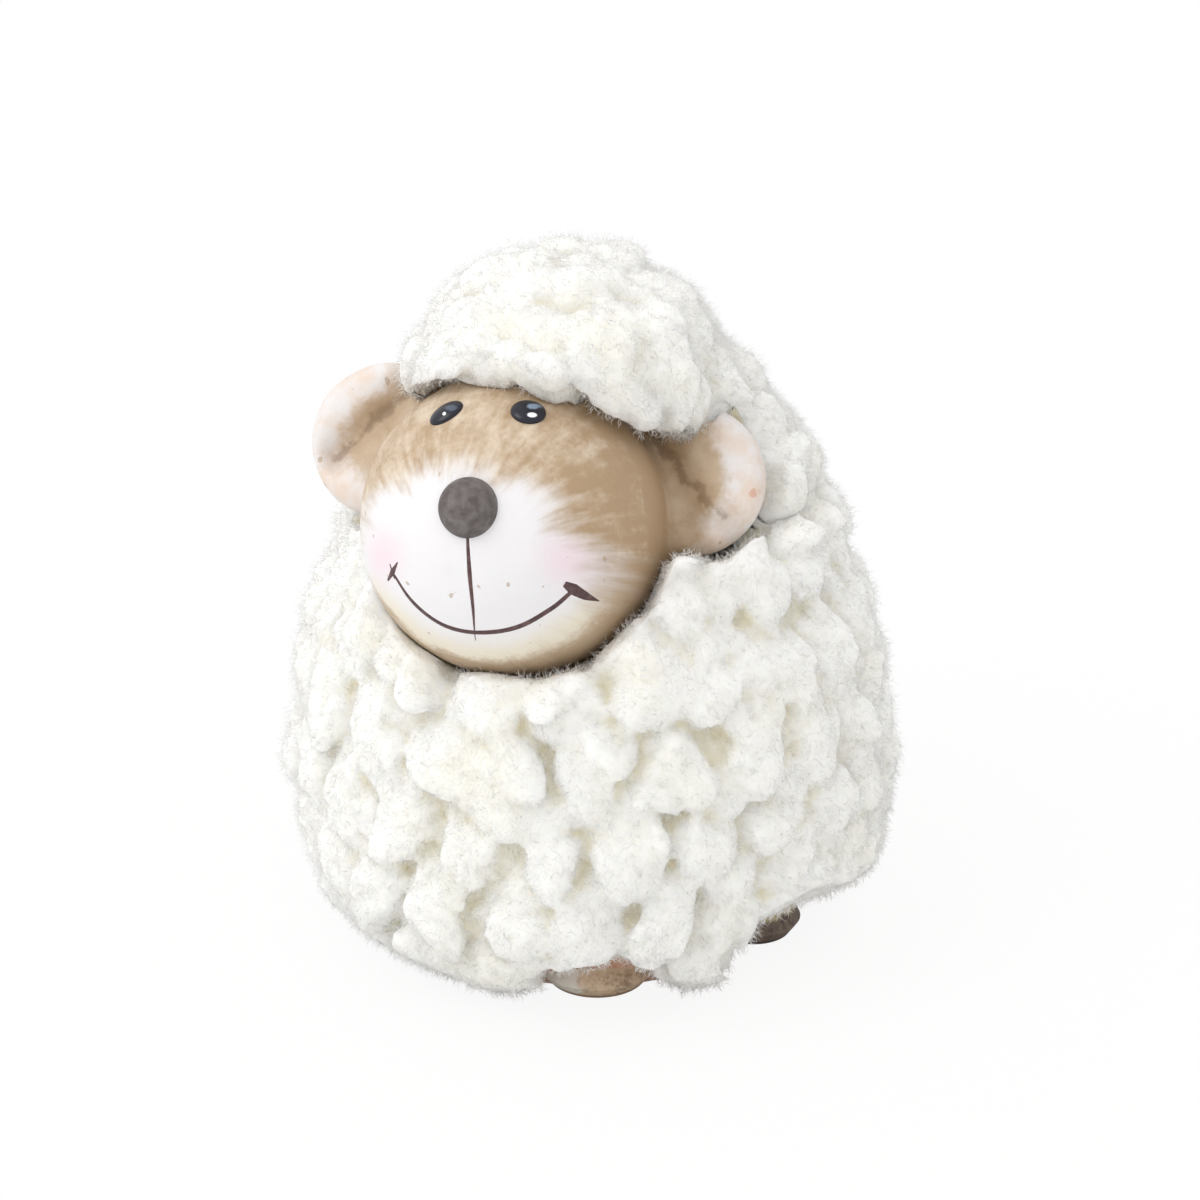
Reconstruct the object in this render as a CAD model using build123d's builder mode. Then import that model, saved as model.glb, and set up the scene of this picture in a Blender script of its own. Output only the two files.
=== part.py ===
from build123d import *
from math import asin, cos, pi, radians, sin, sqrt, tan
import os

os.makedirs("parts", exist_ok=True)

# A small sheep ornament: a hollow clay body and head with cupped ears, glued
# into a thick white fleece that leaves the face, the ears and the feet bare.
# Millimetres. The origin is the centre of the foot ring on the surface that
# the sheep stands on, +Z is up, the sheep looks along -Y, its left is +X.

# Fits shared by all pieces
glue_gap = 0.3  # glue film between the fleece backing and the clay
overrun = 5.0  # how far a cutting solid runs past what it cuts

# Clay body, an egg that stands on a narrow ring
body_height = 94.0
belly_radius = 36.0
body_wall = 4.0
base_thickness = 4.0
foot_ring_share = 0.722  # of belly_radius
foot_ring_radius = belly_radius * foot_ring_share
foot_ring_width = 6.0
foot_recess = 1.5  # the base inside the ring clears the surface
vent_radius = 5.0  # lets the air out of the hollow body in the kiln
# Haunch, belly, chest, shoulder, nape and crown: shares of belly_radius and of body_height
clay_shares = ((0.97, 0.14), (1.0, 0.31), (0.89, 0.5), (0.61, 0.7), (0.35, 0.89), (0.17, 1.0))

# Clay head, longer along the nose than across, its open back on the body
head_radius = 21.7
head_stretch = 5.0  # straight stretch between its two round ends
head_wall = 3.5
head_aside = 0.5
head_forward_share = 0.597  # of belly_radius
head_drop = 23.0  # from the crown of the body down to the head's centre
head_turn = 15.5  # degrees to its left
head_lift = 25.0  # degrees up
head_tilt = 2.4  # degrees, left ear up
neck_vent_radius = 2.5  # joins the hollow head to the hollow body
hollow_cone_share = 0.7  # of the hollow's radius, where its front end steepens

# Ears, round cupped discs set on by hand behind the widest part of the head.
# A rise and a place on the head are shares of head_radius.
ear_rim = 2.4  # radius of the rounded edge
ear_floor = 1.6  # depth of the cup's floor below the middle of the edge
ear_belly = 2.6  # how far the back bulges behind the edge
ear_setback = 4.5
left_ear_radius = 10.9
left_ear_reach = 2.2  # from the head's side out to the ear's centre
left_ear_rise_share = 0.373
right_ear_radius = 11.5
right_ear_reach = 0.4
right_ear_rise_share = 0.544

# Nose, a ball pressed on the tip of the head
nose_radius = 4.2
nose_sink = 0.8  # from the skin down to the centre of the ball
nose_shares = (-0.059, 0.014)  # to the sheep's left and up

# Eyes, thick drops of enamel
eye_depth = 0.9
left_eye_length = 4.9
left_eye_width = 4.5
left_eye_shares = (0.202, 0.664)
left_eye_slant = 20.0
right_eye_length = 5.2
right_eye_width = 3.8
right_eye_shares = (-0.331, 0.619)
right_eye_slant = 50.0

# Feet, flattened lumps round the foot ring, each with a flat sole
front_foot_radius = 9.3
front_foot_height = 6.6
front_foot_reach = 5.4  # how far it shows past the foot ring
front_foot_bearing = 33.0  # degrees from straight ahead
rear_foot_radius = 7.5
rear_foot_height = 6.2
rear_foot_reach = 7.5
rear_foot_bearing = 105.0
sole_share = 0.8  # of the foot's radius
foot_bulge_share = 0.35  # of the foot's height, where it is widest
foot_window = 1.0  # bare ring between a foot and the fleece

# Arches through the hem, brushed up over the feet that show
arch_flare = 12.0  # degrees, how fast an arch widens outwards
front_arch_rise = 1.0  # above the middle of the foot
rear_arch_rise = 3.2

# Fleece round the body, with its hem just clear of the surface
wool_thickness = 9.5
hem_height = 1.0
hem_reach = 5.0  # past the foot ring
skirt_height = 3.0
skirt_reach = 10.0
face_flare = 6.0  # degrees, how fast the opening round the face widens forwards
# Flank, haunch, belly, chest, shoulder and seam: clay radius as a share of belly_radius,
# height as a share of body_height, fleece as a share of wool_thickness
wool_shares = (
    (0.87, 0.085, 1.06),
    (0.97, 0.14, 0.95),
    (1.0, 0.31, 1.0),
    (0.89, 0.5, 1.26),
    (0.61, 0.7, 1.58),
    (0.53, 0.766, 1.57),
)
nape_shares = (0.17, 1.01, 1.15)

# Fleece over the head and the nape, a rounder cap than the head under it
cap_wool = 3.8
cap_shares = (0.622, 0.507)  # of head_radius, from the head's centre back and up to the cap's
cap_slope = 85.0  # degrees, how steep the cap's way up ends at the crown
hairline_share = 0.83  # of head_radius, the edge of the wool on the forehead

# Tufts of the fleece, in rows that each hang over the row below
tuft_pitch = 12.0  # from tuft to tuft along a row
tuft_relief = 3.0  # from a hollow to the top of a tuft
body_rows = 6
nape_rows = 2
cap_rows = 4
lobe_shares = ((0, -0.4), (0.3, 0.2), (0.7, 0.2))  # of the pitch along a row, of the relief outwards
row_shares = ((0, -0.6), (0.2, 0), (0.55, 0.15), (1.15, -0.25))  # of the way up, of the relief outwards


def side_plane(frame):
    """The plane through a frame's own x and z axes, its x to the right and its z up."""
    return Plane(origin=frame.origin, x_dir=frame.x_dir, z_dir=-frame.y_dir)


def frame_axis(frame):
    """The axis that stands on a frame."""
    return Axis(frame.origin, frame.z_dir)


# Head frame: x to the sheep's left, y to the crown, z out along the nose
turn = radians(head_turn)
lift = radians(head_lift)
head_centre = Vector(head_aside, -belly_radius * head_forward_share, body_height - head_drop)
head_frame = Plane(
    origin=head_centre,
    x_dir=(cos(turn), sin(turn), 0),
    z_dir=(sin(turn) * cos(lift), -cos(turn) * cos(lift), sin(lift)),
).rotated((0, 0, head_tilt))


def on_head(side, rise, forward):
    """A frame turned like the head, at a place given in the head's own axes."""
    return Plane(head_frame.location * Location((side, rise, forward)))


def on_skin(side_share, rise_share, slant=0.0):
    """A frame on the head's front end that stands square to it, its x turned by a slant."""
    outward = Vector(side_share, rise_share, sqrt(1 - side_share**2 - rise_share**2))
    across = Vector(cos(radians(slant)), sin(radians(slant)), 0)
    seat = Plane(
        origin=outward * head_radius + Vector(0, 0, head_stretch / 2),
        x_dir=across - outward * across.dot(outward),
        z_dir=outward,
    )
    return Plane(head_frame.location * seat.location)


def wool_point(clay_share, height_share, wool_share):
    """A point of the fleece's outline, outside the clay by its share of the wool."""
    return (belly_radius * clay_share + wool_thickness * wool_share, body_height * height_share)


# Seam between the two fleeces, and the head's fleece just above it
seam_radius, seam_height = wool_point(*wool_shares[-1])
cap_floor = seam_height + glue_gap


def body_form(grow=0.0):
    """The outer form of the clay body, grown outwards by a gap."""
    stations = [(belly_radius * radius + grow, body_height * height) for radius, height in clay_shares]
    crown_radius = stations[-1][0]
    top = body_height + grow
    with BuildPart() as form:
        with BuildSketch(Plane.XZ):
            with BuildLine():
                Polyline(
                    (0, 0),
                    (foot_ring_radius + grow, 0),
                    *stations[:-1],
                    (crown_radius, top),
                    (0, top),
                    close=True,
                )
            make_face()
        revolve(axis=Axis.Z)
    return form.part


def body_hollow():
    """The air inside the clay body, closed to a point under the crown."""
    below_crown = clay_shares[:-1]
    stations = [(belly_radius * radius - body_wall, body_height * height) for radius, height in below_crown]
    with BuildPart() as hollow:
        with BuildSketch(Plane.XZ):
            with BuildLine():
                Polyline(
                    (0, base_thickness),
                    (foot_ring_radius - body_wall, base_thickness),
                    *stations,
                    (0, body_height - body_wall),
                    close=True,
                )
            make_face()
        revolve(axis=Axis.Z)
    return hollow.part


def head_form(grow=0.0):
    """The egg of the head, two round ends with a short straight stretch between, grown by a gap."""
    radius = head_radius + grow
    straight = head_stretch / 2
    with BuildPart() as form:
        with BuildSketch(side_plane(head_frame)):
            with BuildLine():
                RadiusArc((0, straight + radius), (radius, straight), radius)
                Line((radius, straight), (radius, -straight))
                RadiusArc((radius, -straight), (0, -straight - radius), radius)
                Line((0, -straight - radius), (0, straight + radius))
            make_face()
        revolve(axis=frame_axis(head_frame))
    return form.part


def head_hollow():
    """The air inside the clay head, open to the back."""
    inside = head_radius - head_wall
    straight = head_stretch / 2
    with BuildPart() as hollow:
        with BuildSketch(side_plane(head_frame)):
            with BuildLine():
                Polyline(
                    (0, straight + inside),
                    (inside * hollow_cone_share, straight + inside * hollow_cone_share),
                    (inside, straight),
                    (inside, -straight - inside),
                    (0, -straight - inside),
                    close=True,
                )
            make_face()
        revolve(axis=frame_axis(head_frame))
    return hollow.part


def ear_form(seat, radius, grow=0.0):
    """A cupped disc with a rounded edge, facing out of its seat."""
    rim = ear_rim + grow
    edge = radius - ear_rim
    middle = edge / 2
    floor = grow - ear_floor
    back = -ear_rim - ear_belly - grow
    with BuildPart() as form:
        with BuildSketch(side_plane(seat)):
            with BuildLine():
                Polyline((edge, -rim), (middle, back), (0, back), (0, floor), (middle, floor), (edge, rim))
                ThreePointArc((edge, rim), (edge + rim, 0), (edge, -rim))
            make_face()
        revolve(axis=frame_axis(seat))
    return form.part


def eye_form(seat, length, width):
    """A domed oval drop of enamel, sunk to its widest line."""
    drop = scale(
        Sphere(1, mode=Mode.PRIVATE),
        by=(length / 2, width / 2, eye_depth),
        mode=Mode.PRIVATE,
    )
    return seat.location * drop


def foot_seat(radius, reach, bearing):
    """The frame under the middle of a foot, its x pointing away from the body."""
    place = foot_ring_radius + reach - radius
    outward = Vector(sin(radians(bearing)), -cos(radians(bearing)), 0)
    return Plane(origin=outward * place, x_dir=outward, z_dir=(0, 0, 1))


def foot_form(radius, height, reach, bearing, grow=0.0):
    """A flattened lump on a flat sole, wide low down and round on top."""
    seat = foot_seat(radius, reach, bearing)
    width = radius + grow
    top = height + grow
    bulge = top * foot_bulge_share
    eighth = sin(radians(45))
    with BuildPart() as form:
        with BuildSketch(side_plane(seat)):
            with BuildLine():
                Polyline((0, top), (0, 0), (width * sole_share, 0), (width, bulge))
                ThreePointArc((width, bulge), (width * eighth, bulge + (top - bulge) * eighth), (0, top))
            make_face()
        revolve(axis=frame_axis(seat))
    return form.part


def arch_form(radius, height, reach, bearing, rise):
    """A round tunnel from the middle of a foot outwards, wider at its mouth."""
    seat = foot_seat(radius, reach, bearing)
    inside = radius + rise
    length = wool_thickness + skirt_reach + overrun
    with BuildPart() as form:
        with Locations(Plane(origin=seat.origin, x_dir=seat.y_dir, z_dir=seat.x_dir)):
            Cone(
                inside,
                inside + length * tan(radians(arch_flare)),
                length,
                align=(Align.CENTER, Align.CENTER, Align.MIN),
            )
    return form.part


def body_fleece_ring(way, rise):
    """Radius and height of the body's fleece, a rise above its mean, part of the way up from the hem."""
    stations = [(foot_ring_radius + hem_reach, hem_height), (foot_ring_radius + skirt_reach, skirt_height)]
    stations += [wool_point(*shares) for shares in wool_shares]
    height = hem_height + (seam_height - hem_height) * way
    for (low_radius, low), (high_radius, high) in zip(stations, stations[1:]):
        if height <= high:
            break
    return low_radius + (high_radius - low_radius) * (height - low) / (high - low) + rise, height


def nape_fleece_ring(way, rise):
    """Radius and height of the nape's fleece, a rise above its mean, part of the way up from the seam."""
    nape_radius, nape_height = wool_point(*nape_shares)
    return seam_radius + (nape_radius - seam_radius) * way + rise, cap_floor + (nape_height - cap_floor) * way


def cap_fleece_ring(way, rise):
    """Radius and height of the cap's fleece, a rise above its mean, part of the way up from the seam."""
    mean = head_radius + cap_wool
    middle = head_centre.Z + head_radius * cap_shares[1]
    lowest = asin((cap_floor - middle) / mean)
    slope = lowest + (radians(cap_slope) - lowest) * way
    return (mean + rise) * cos(slope), max(middle + (mean + rise) * sin(slope), cap_floor)


def tuft_row(rings, turned):
    """A closed row of tufts through rings of the same many-lobed outline, turned by part of a tuft."""
    widest = max(radius for radius, height in rings)
    tufts = round(2 * pi * widest / tuft_pitch)
    with BuildPart() as row:
        for radius, height in rings:
            outline = []
            for tuft in range(tufts):
                for place, rise in lobe_shares:
                    bearing = 2 * pi * (tuft + place + turned) / tufts
                    reach = radius * (1 + rise * tuft_relief / widest)
                    outline.append((reach * sin(bearing), -reach * cos(bearing)))
            with BuildSketch(Plane.XY.offset(height)):
                with BuildLine():
                    Polyline(*outline, close=True)
                make_face()
        loft(ruled=True)
    return row.part


def tuft_rows(ring, rows):
    """A thick coat of tufts in rows, each hanging over the row below and half a tuft on from it."""
    with BuildPart() as coat:
        for row in range(rows):
            rings = [ring(min((row + way) / rows, 1), rise * tuft_relief) for way, rise in row_shares]
            add(tuft_row(rings, row / 2))
    return coat.part


# Body shell, recessed inside its foot ring, with a vent below and one into the head
with BuildPart() as body_shell:
    add(body_form())
    add(body_hollow(), mode=Mode.SUBTRACT)
    with BuildSketch(Plane.XY):
        Circle(foot_ring_radius - foot_ring_width)
    extrude(amount=foot_recess, mode=Mode.SUBTRACT)
    with BuildSketch(Plane.XY):
        Circle(vent_radius)
    extrude(amount=base_thickness + overrun, mode=Mode.SUBTRACT)
    with BuildSketch(head_frame):
        Circle(neck_vent_radius)
    extrude(amount=head_radius, both=True, mode=Mode.SUBTRACT)
body_shell.part.label = "body_shell"
export_step(body_shell.part, "parts/body_shell.step")

# Head shell, its open back trimmed to the body that it is luted on
with BuildPart() as head_shell:
    add(head_form())
    add(head_hollow(), mode=Mode.SUBTRACT)
    add(body_form(), mode=Mode.SUBTRACT)
head_shell.part.label = "head_shell"
export_step(head_shell.part, "parts/head_shell.step")

# Ears, each cut to the curve of the head and of the neck behind it
left_ear_side = head_radius + left_ear_reach
left_ear_rise = head_radius * left_ear_rise_share
left_ear_seat = on_head(left_ear_side, left_ear_rise, -ear_setback)
right_ear_side = -head_radius - right_ear_reach
right_ear_rise = head_radius * right_ear_rise_share
right_ear_seat = on_head(right_ear_side, right_ear_rise, -ear_setback)

with BuildPart() as left_ear:
    add(ear_form(left_ear_seat, left_ear_radius))
    add(head_form(), mode=Mode.SUBTRACT)
    add(body_form(), mode=Mode.SUBTRACT)
left_ear.part.label = "left_ear"
export_step(left_ear.part, "parts/left_ear.step")

with BuildPart() as right_ear:
    add(ear_form(right_ear_seat, right_ear_radius))
    add(head_form(), mode=Mode.SUBTRACT)
    add(body_form(), mode=Mode.SUBTRACT)
right_ear.part.label = "right_ear"
export_step(right_ear.part, "parts/right_ear.step")

# Nose
with BuildPart() as nose:
    with Locations(on_skin(*nose_shares).offset(-nose_sink)):
        Sphere(nose_radius)
    add(head_form(), mode=Mode.SUBTRACT)
nose.part.label = "nose"
export_step(nose.part, "parts/nose.step")

# Eyes
with BuildPart() as left_eye:
    add(eye_form(on_skin(*left_eye_shares, left_eye_slant), left_eye_length, left_eye_width))
    add(head_form(), mode=Mode.SUBTRACT)
left_eye.part.label = "left_eye"
export_step(left_eye.part, "parts/left_eye.step")

with BuildPart() as right_eye:
    add(eye_form(on_skin(*right_eye_shares, right_eye_slant), right_eye_length, right_eye_width))
    add(head_form(), mode=Mode.SUBTRACT)
right_eye.part.label = "right_eye"
export_step(right_eye.part, "parts/right_eye.step")

# Feet, each cut to the curve of the body
feet = {
    "front_left_foot": (front_foot_radius, front_foot_height, front_foot_reach, front_foot_bearing),
    "front_right_foot": (front_foot_radius, front_foot_height, front_foot_reach, -front_foot_bearing),
    "rear_left_foot": (rear_foot_radius, rear_foot_height, rear_foot_reach, rear_foot_bearing),
    "rear_right_foot": (rear_foot_radius, rear_foot_height, rear_foot_reach, -rear_foot_bearing),
}
for name, sizes in feet.items():
    with BuildPart() as foot:
        add(foot_form(*sizes))
        add(body_form(), mode=Mode.SUBTRACT)
    foot.part.label = name
    export_step(foot.part, f"parts/{name}.step")

# Fleece round the body, one thick wrap open where the head and the feet come through
face_depth = belly_radius
arches = {
    "front_left_foot": front_arch_rise,
    "rear_left_foot": rear_arch_rise,
    "rear_right_foot": rear_arch_rise,
}
with BuildPart() as body_fleece:
    add(tuft_rows(body_fleece_ring, body_rows))
    add(body_form(glue_gap), mode=Mode.SUBTRACT)
    add(head_form(glue_gap), mode=Mode.SUBTRACT)
    with Locations(head_frame):
        Cone(
            head_radius + glue_gap,
            head_radius + glue_gap + face_depth * tan(radians(face_flare)),
            face_depth,
            align=(Align.CENTER, Align.CENTER, Align.MIN),
            mode=Mode.SUBTRACT,
        )
    add(ear_form(left_ear_seat, left_ear_radius, glue_gap), mode=Mode.SUBTRACT)
    add(ear_form(right_ear_seat, right_ear_radius, glue_gap), mode=Mode.SUBTRACT)
    for sizes in feet.values():
        add(foot_form(*sizes, grow=foot_window), mode=Mode.SUBTRACT)
    for name, rise in arches.items():
        add(arch_form(*feet[name], rise), mode=Mode.SUBTRACT)
body_fleece.part.label = "body_fleece"
export_step(body_fleece.part, "parts/body_fleece.step")

# Fleece over the head and the nape, open in front of the ears below the hairline
cap_back = head_radius * cap_shares[0]
behind_ears = ear_setback + ear_rim + ear_belly + glue_gap
opening_width = 2 * belly_radius
with BuildPart() as head_fleece:
    add(tuft_rows(nape_fleece_ring, nape_rows))
    with Locations((0, head_centre.Y + cap_back, 0)):
        add(tuft_rows(cap_fleece_ring, cap_rows))
    with BuildSketch(on_head(0, head_radius * hairline_share, -behind_ears)):
        Rectangle(opening_width, opening_width, align=(Align.CENTER, Align.MAX))
    extrude(amount=opening_width, mode=Mode.SUBTRACT)
    add(body_form(glue_gap), mode=Mode.SUBTRACT)
    add(head_form(glue_gap), mode=Mode.SUBTRACT)
    add(ear_form(left_ear_seat, left_ear_radius, glue_gap), mode=Mode.SUBTRACT)
    add(ear_form(right_ear_seat, right_ear_radius, glue_gap), mode=Mode.SUBTRACT)
head_fleece.part.label = "head_fleece"
export_step(head_fleece.part, "parts/head_fleece.step")
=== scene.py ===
"""Looks of the sheep ornament, built round its packed clay pieces and fleeces.

Lengths are in metres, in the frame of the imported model: +Z is up, the body faces
-Y and the sheep's left is +X. Places on the head are given in the head's own axes:
side is the sheep's left, rise goes to the crown, ahead goes out along the nose.
Lines, tables of places and the paint's own places on the head are in millimetres.
"""

import logging
import math
from dataclasses import dataclass
from enum import Enum

import bpy
import numpy as np
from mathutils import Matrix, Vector, noise
from mathutils.bvhtree import BVHTree


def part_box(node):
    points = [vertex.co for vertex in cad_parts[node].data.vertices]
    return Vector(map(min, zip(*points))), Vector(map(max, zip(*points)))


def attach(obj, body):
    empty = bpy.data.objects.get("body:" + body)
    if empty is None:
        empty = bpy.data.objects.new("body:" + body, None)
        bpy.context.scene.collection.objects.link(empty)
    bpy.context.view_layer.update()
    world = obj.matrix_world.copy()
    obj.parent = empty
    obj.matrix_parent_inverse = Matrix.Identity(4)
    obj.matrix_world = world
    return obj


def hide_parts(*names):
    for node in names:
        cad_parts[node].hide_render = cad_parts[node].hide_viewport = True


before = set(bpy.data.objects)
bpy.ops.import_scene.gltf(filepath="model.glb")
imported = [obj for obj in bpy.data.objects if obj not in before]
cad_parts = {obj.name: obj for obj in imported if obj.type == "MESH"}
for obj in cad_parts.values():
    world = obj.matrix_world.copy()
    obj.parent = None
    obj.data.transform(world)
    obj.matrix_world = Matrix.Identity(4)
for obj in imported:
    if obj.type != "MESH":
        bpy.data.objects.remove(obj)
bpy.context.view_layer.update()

log = logging.getLogger("sheep")

MM = 0.001
TINY = 1e-12
SAME_PLACE = 0.001 * MM
BODY = "root"


class Grain(Enum):
    """The sizes of the lumps that break up the wool's surface."""

    CLUMP = 4.0 * MM
    CURL = 1.7 * MM


# Meshes


def select_only(piece: bpy.types.Object) -> None:
    """Leaves one object selected and active."""
    bpy.ops.object.select_all(action="DESELECT")
    piece.select_set(True)
    bpy.context.view_layer.objects.active = piece


def apply_modifier(piece: bpy.types.Object, kind: str, **settings) -> None:
    """Adds one modifier to a piece and applies it.

    Args:
        piece: The object whose mesh is changed.
        kind: The modifier's type, as Blender names it.
        settings: The modifier's own settings.
    """
    select_only(piece)
    modifier = piece.modifiers.new(kind.lower(), kind)
    for name, value in settings.items():
        setattr(modifier, name, value)
    bpy.ops.object.modifier_apply(modifier=modifier.name)


def read(elements, name: str, width: int, kind=np.float64) -> np.ndarray:
    """Reads one property of all a mesh's points, edges or triangles.

    Args:
        elements: The mesh's collection.
        name: The property's name.
        width: How many numbers each element has.
        kind: The type of the numbers.

    Returns:
        An array with a row for each element, or a flat one for a width of 1.
    """
    values = np.empty(len(elements) * width, kind)
    elements.foreach_get(name, values)
    return values.reshape(-1, width) if width > 1 else values


def points_of(piece: bpy.types.Object) -> np.ndarray:
    """The places of a piece's points."""
    return read(piece.data.vertices, "co", 3)


def normals_of(piece: bpy.types.Object) -> np.ndarray:
    """The outward directions at a piece's points."""
    return read(piece.data.vertices, "normal", 3)


def triangles_of(piece: bpy.types.Object) -> np.ndarray:
    """The corners of a piece's triangles, as indexes of its points."""
    piece.data.calc_loop_triangles()
    return read(piece.data.loop_triangles, "vertices", 3, np.int32)


def move_points(piece: bpy.types.Object, places: np.ndarray) -> None:
    """Puts a piece's points at new places."""
    piece.data.vertices.foreach_set("co", places.astype(np.float32).ravel())
    piece.data.update()


def store(piece: bpy.types.Object, name: str, values: np.ndarray) -> None:
    """Keeps a number for each of a piece's points, for its material to read."""
    layer = piece.data.attributes.new(name, "FLOAT", "POINT")
    layer.data.foreach_set("value", values.astype(np.float32))


def new_piece(name: str, places: np.ndarray, faces: np.ndarray) -> bpy.types.Object:
    """Makes a piece from copies of a shape that was modelled once.

    Args:
        name: The piece's name.
        places: Its points.
        faces: Its faces, each with the same number of corners.

    Returns:
        The new object, at the origin.
    """
    mesh = bpy.data.meshes.new(name)
    corners = faces.shape[1]
    mesh.vertices.add(len(places))
    mesh.vertices.foreach_set("co", places.astype(np.float32).ravel())
    mesh.loops.add(faces.size)
    mesh.loops.foreach_set("vertex_index", faces.astype(np.int32).ravel())
    mesh.polygons.add(len(faces))
    mesh.polygons.foreach_set("loop_start", np.arange(0, faces.size, corners, dtype=np.int32))
    mesh.update(calc_edges=True)
    piece = bpy.data.objects.new(name, mesh)
    bpy.context.collection.objects.link(piece)
    return piece


def join(name: str, *parts: bpy.types.Object) -> bpy.types.Object:
    """Joins objects into the first of them and gives it a name."""
    bpy.ops.object.select_all(action="DESELECT")
    for part in parts:
        part.select_set(True)
    bpy.context.view_layer.objects.active = parts[0]
    bpy.ops.object.join()
    parts[0].name = name
    parts[0].data.name = name
    return parts[0]


def merged_copy(node: str, name: str) -> bpy.types.Object:
    """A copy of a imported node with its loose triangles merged."""
    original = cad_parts[node]
    copy = bpy.data.objects.new(name, original.data.copy())
    bpy.context.collection.objects.link(copy)
    select_only(copy)
    bpy.ops.object.mode_set(mode="EDIT")
    bpy.ops.mesh.select_all(action="SELECT")
    bpy.ops.mesh.remove_doubles(threshold=SAME_PLACE)
    bpy.ops.object.mode_set(mode="OBJECT")
    return copy


def remove(*objects: bpy.types.Object) -> None:
    """Deletes helper objects."""
    for thing in objects:
        bpy.data.objects.remove(thing, do_unlink=True)


def unit(vectors: np.ndarray) -> np.ndarray:
    """Vectors of length one in the same directions."""
    return vectors / np.maximum(np.linalg.norm(vectors, axis=-1, keepdims=True), TINY)


def along(vectors: np.ndarray, directions: np.ndarray) -> np.ndarray:
    """How far each vector goes in its direction, as a column."""
    return np.sum(vectors * directions, axis=-1, keepdims=True)


def fade(values: np.ndarray, start: float, end: float) -> np.ndarray:
    """0 up to start, 1 from end on, smooth between."""
    share = np.clip((values - start) / (end - start), 0, 1)
    return share * share * (3 - 2 * share)


def ripple(places: np.ndarray, size: float, seed: int) -> np.ndarray:
    """Smooth noise from about -1 to 1 at each place, with ripples of one size."""
    shift = Vector((seed, seed / 2, -seed))
    return np.array([noise.noise(Vector(place) / size + shift) for place in places])


def smooth_line(points: list, steps: int) -> np.ndarray:
    """Even steps along a smooth curve through a few points."""
    knots = np.array(points, float)
    knots = np.vstack([2 * knots[0] - knots[1], knots, 2 * knots[-1] - knots[-2]])
    places = np.linspace(0, len(points) - 1, steps)
    start = np.minimum(places.astype(int), len(points) - 2)
    t = (places - start)[:, None]
    before, first, second, after = (knots[start + k] for k in range(4))
    return 0.5 * (
        2 * first
        + (second - before) * t
        + (2 * before - 5 * first + 4 * second - after) * t**2
        + (3 * first - before - 3 * second + after) * t**3
    )


def line_distance(places: np.ndarray, line: tuple) -> np.ndarray:
    """How far flat places are from a line through a few points, given in millimetres."""
    knots = np.array(line) * MM
    nearest = np.full(len(places), np.inf)
    for start, end in zip(knots[:-1], knots[1:]):
        run = end - start
        share = np.clip((places - start) @ run / (run @ run), 0, 1)[:, None]
        nearest = np.minimum(nearest, np.linalg.norm(places - start - share * run, axis=1))
    return nearest


# The clay forms that the wool and the paint keep to


@dataclass(frozen=True)
class HeadForm:
    """The plain form of the head, a ball stretched along the nose, and its axes."""

    centre: tuple = (0.5 * MM, -21.5 * MM, 71 * MM)
    radius: float = 21.7 * MM
    stretch: float = 5 * MM
    turn: float = math.radians(15.5)
    lift: float = math.radians(25)
    tilt: float = math.radians(2.4)

    def axes(self) -> np.ndarray:
        """The directions of side, rise and ahead, as rows."""
        side = np.array([math.cos(self.turn), math.sin(self.turn), 0])
        level = np.array([math.sin(self.turn), -math.cos(self.turn), 0])
        ahead = level * math.cos(self.lift) + np.array([0, 0, math.sin(self.lift)])
        rise = np.cross(ahead, side)
        cosine, sine = math.cos(self.tilt), math.sin(self.tilt)
        return np.array([side * cosine + rise * sine, rise * cosine - side * sine, ahead])

    def inward(self, places: np.ndarray) -> np.ndarray:
        """Places in the head's own axes."""
        return (places - np.array(self.centre)) @ self.axes().T

    def outward(self, places: np.ndarray) -> np.ndarray:
        """Places in the head's own axes, put back in the model's frame."""
        return places @ self.axes() + np.array(self.centre)

    def skin(self, side: np.ndarray, rise: np.ndarray, height: np.ndarray) -> np.ndarray:
        """Places above the front of the head, in the model's frame."""
        ahead = np.sqrt(np.maximum(self.radius**2 - side**2 - rise**2, 0))
        directions = np.stack([side, rise, ahead], axis=-1) / self.radius
        local = directions * (self.radius + height[..., None])
        local[..., 2] += self.stretch / 2
        return self.outward(local)

    def clearance(self, places: np.ndarray) -> tuple[np.ndarray, np.ndarray]:
        """How far places are outside the head, and which way leads out of it."""
        local = self.inward(places)
        spine = np.zeros_like(local)
        spine[:, 2] = np.clip(local[:, 2], -self.stretch / 2, self.stretch / 2)
        offset = local - spine
        return np.linalg.norm(offset, axis=1) - self.radius, unit(offset) @ self.axes()


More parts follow.
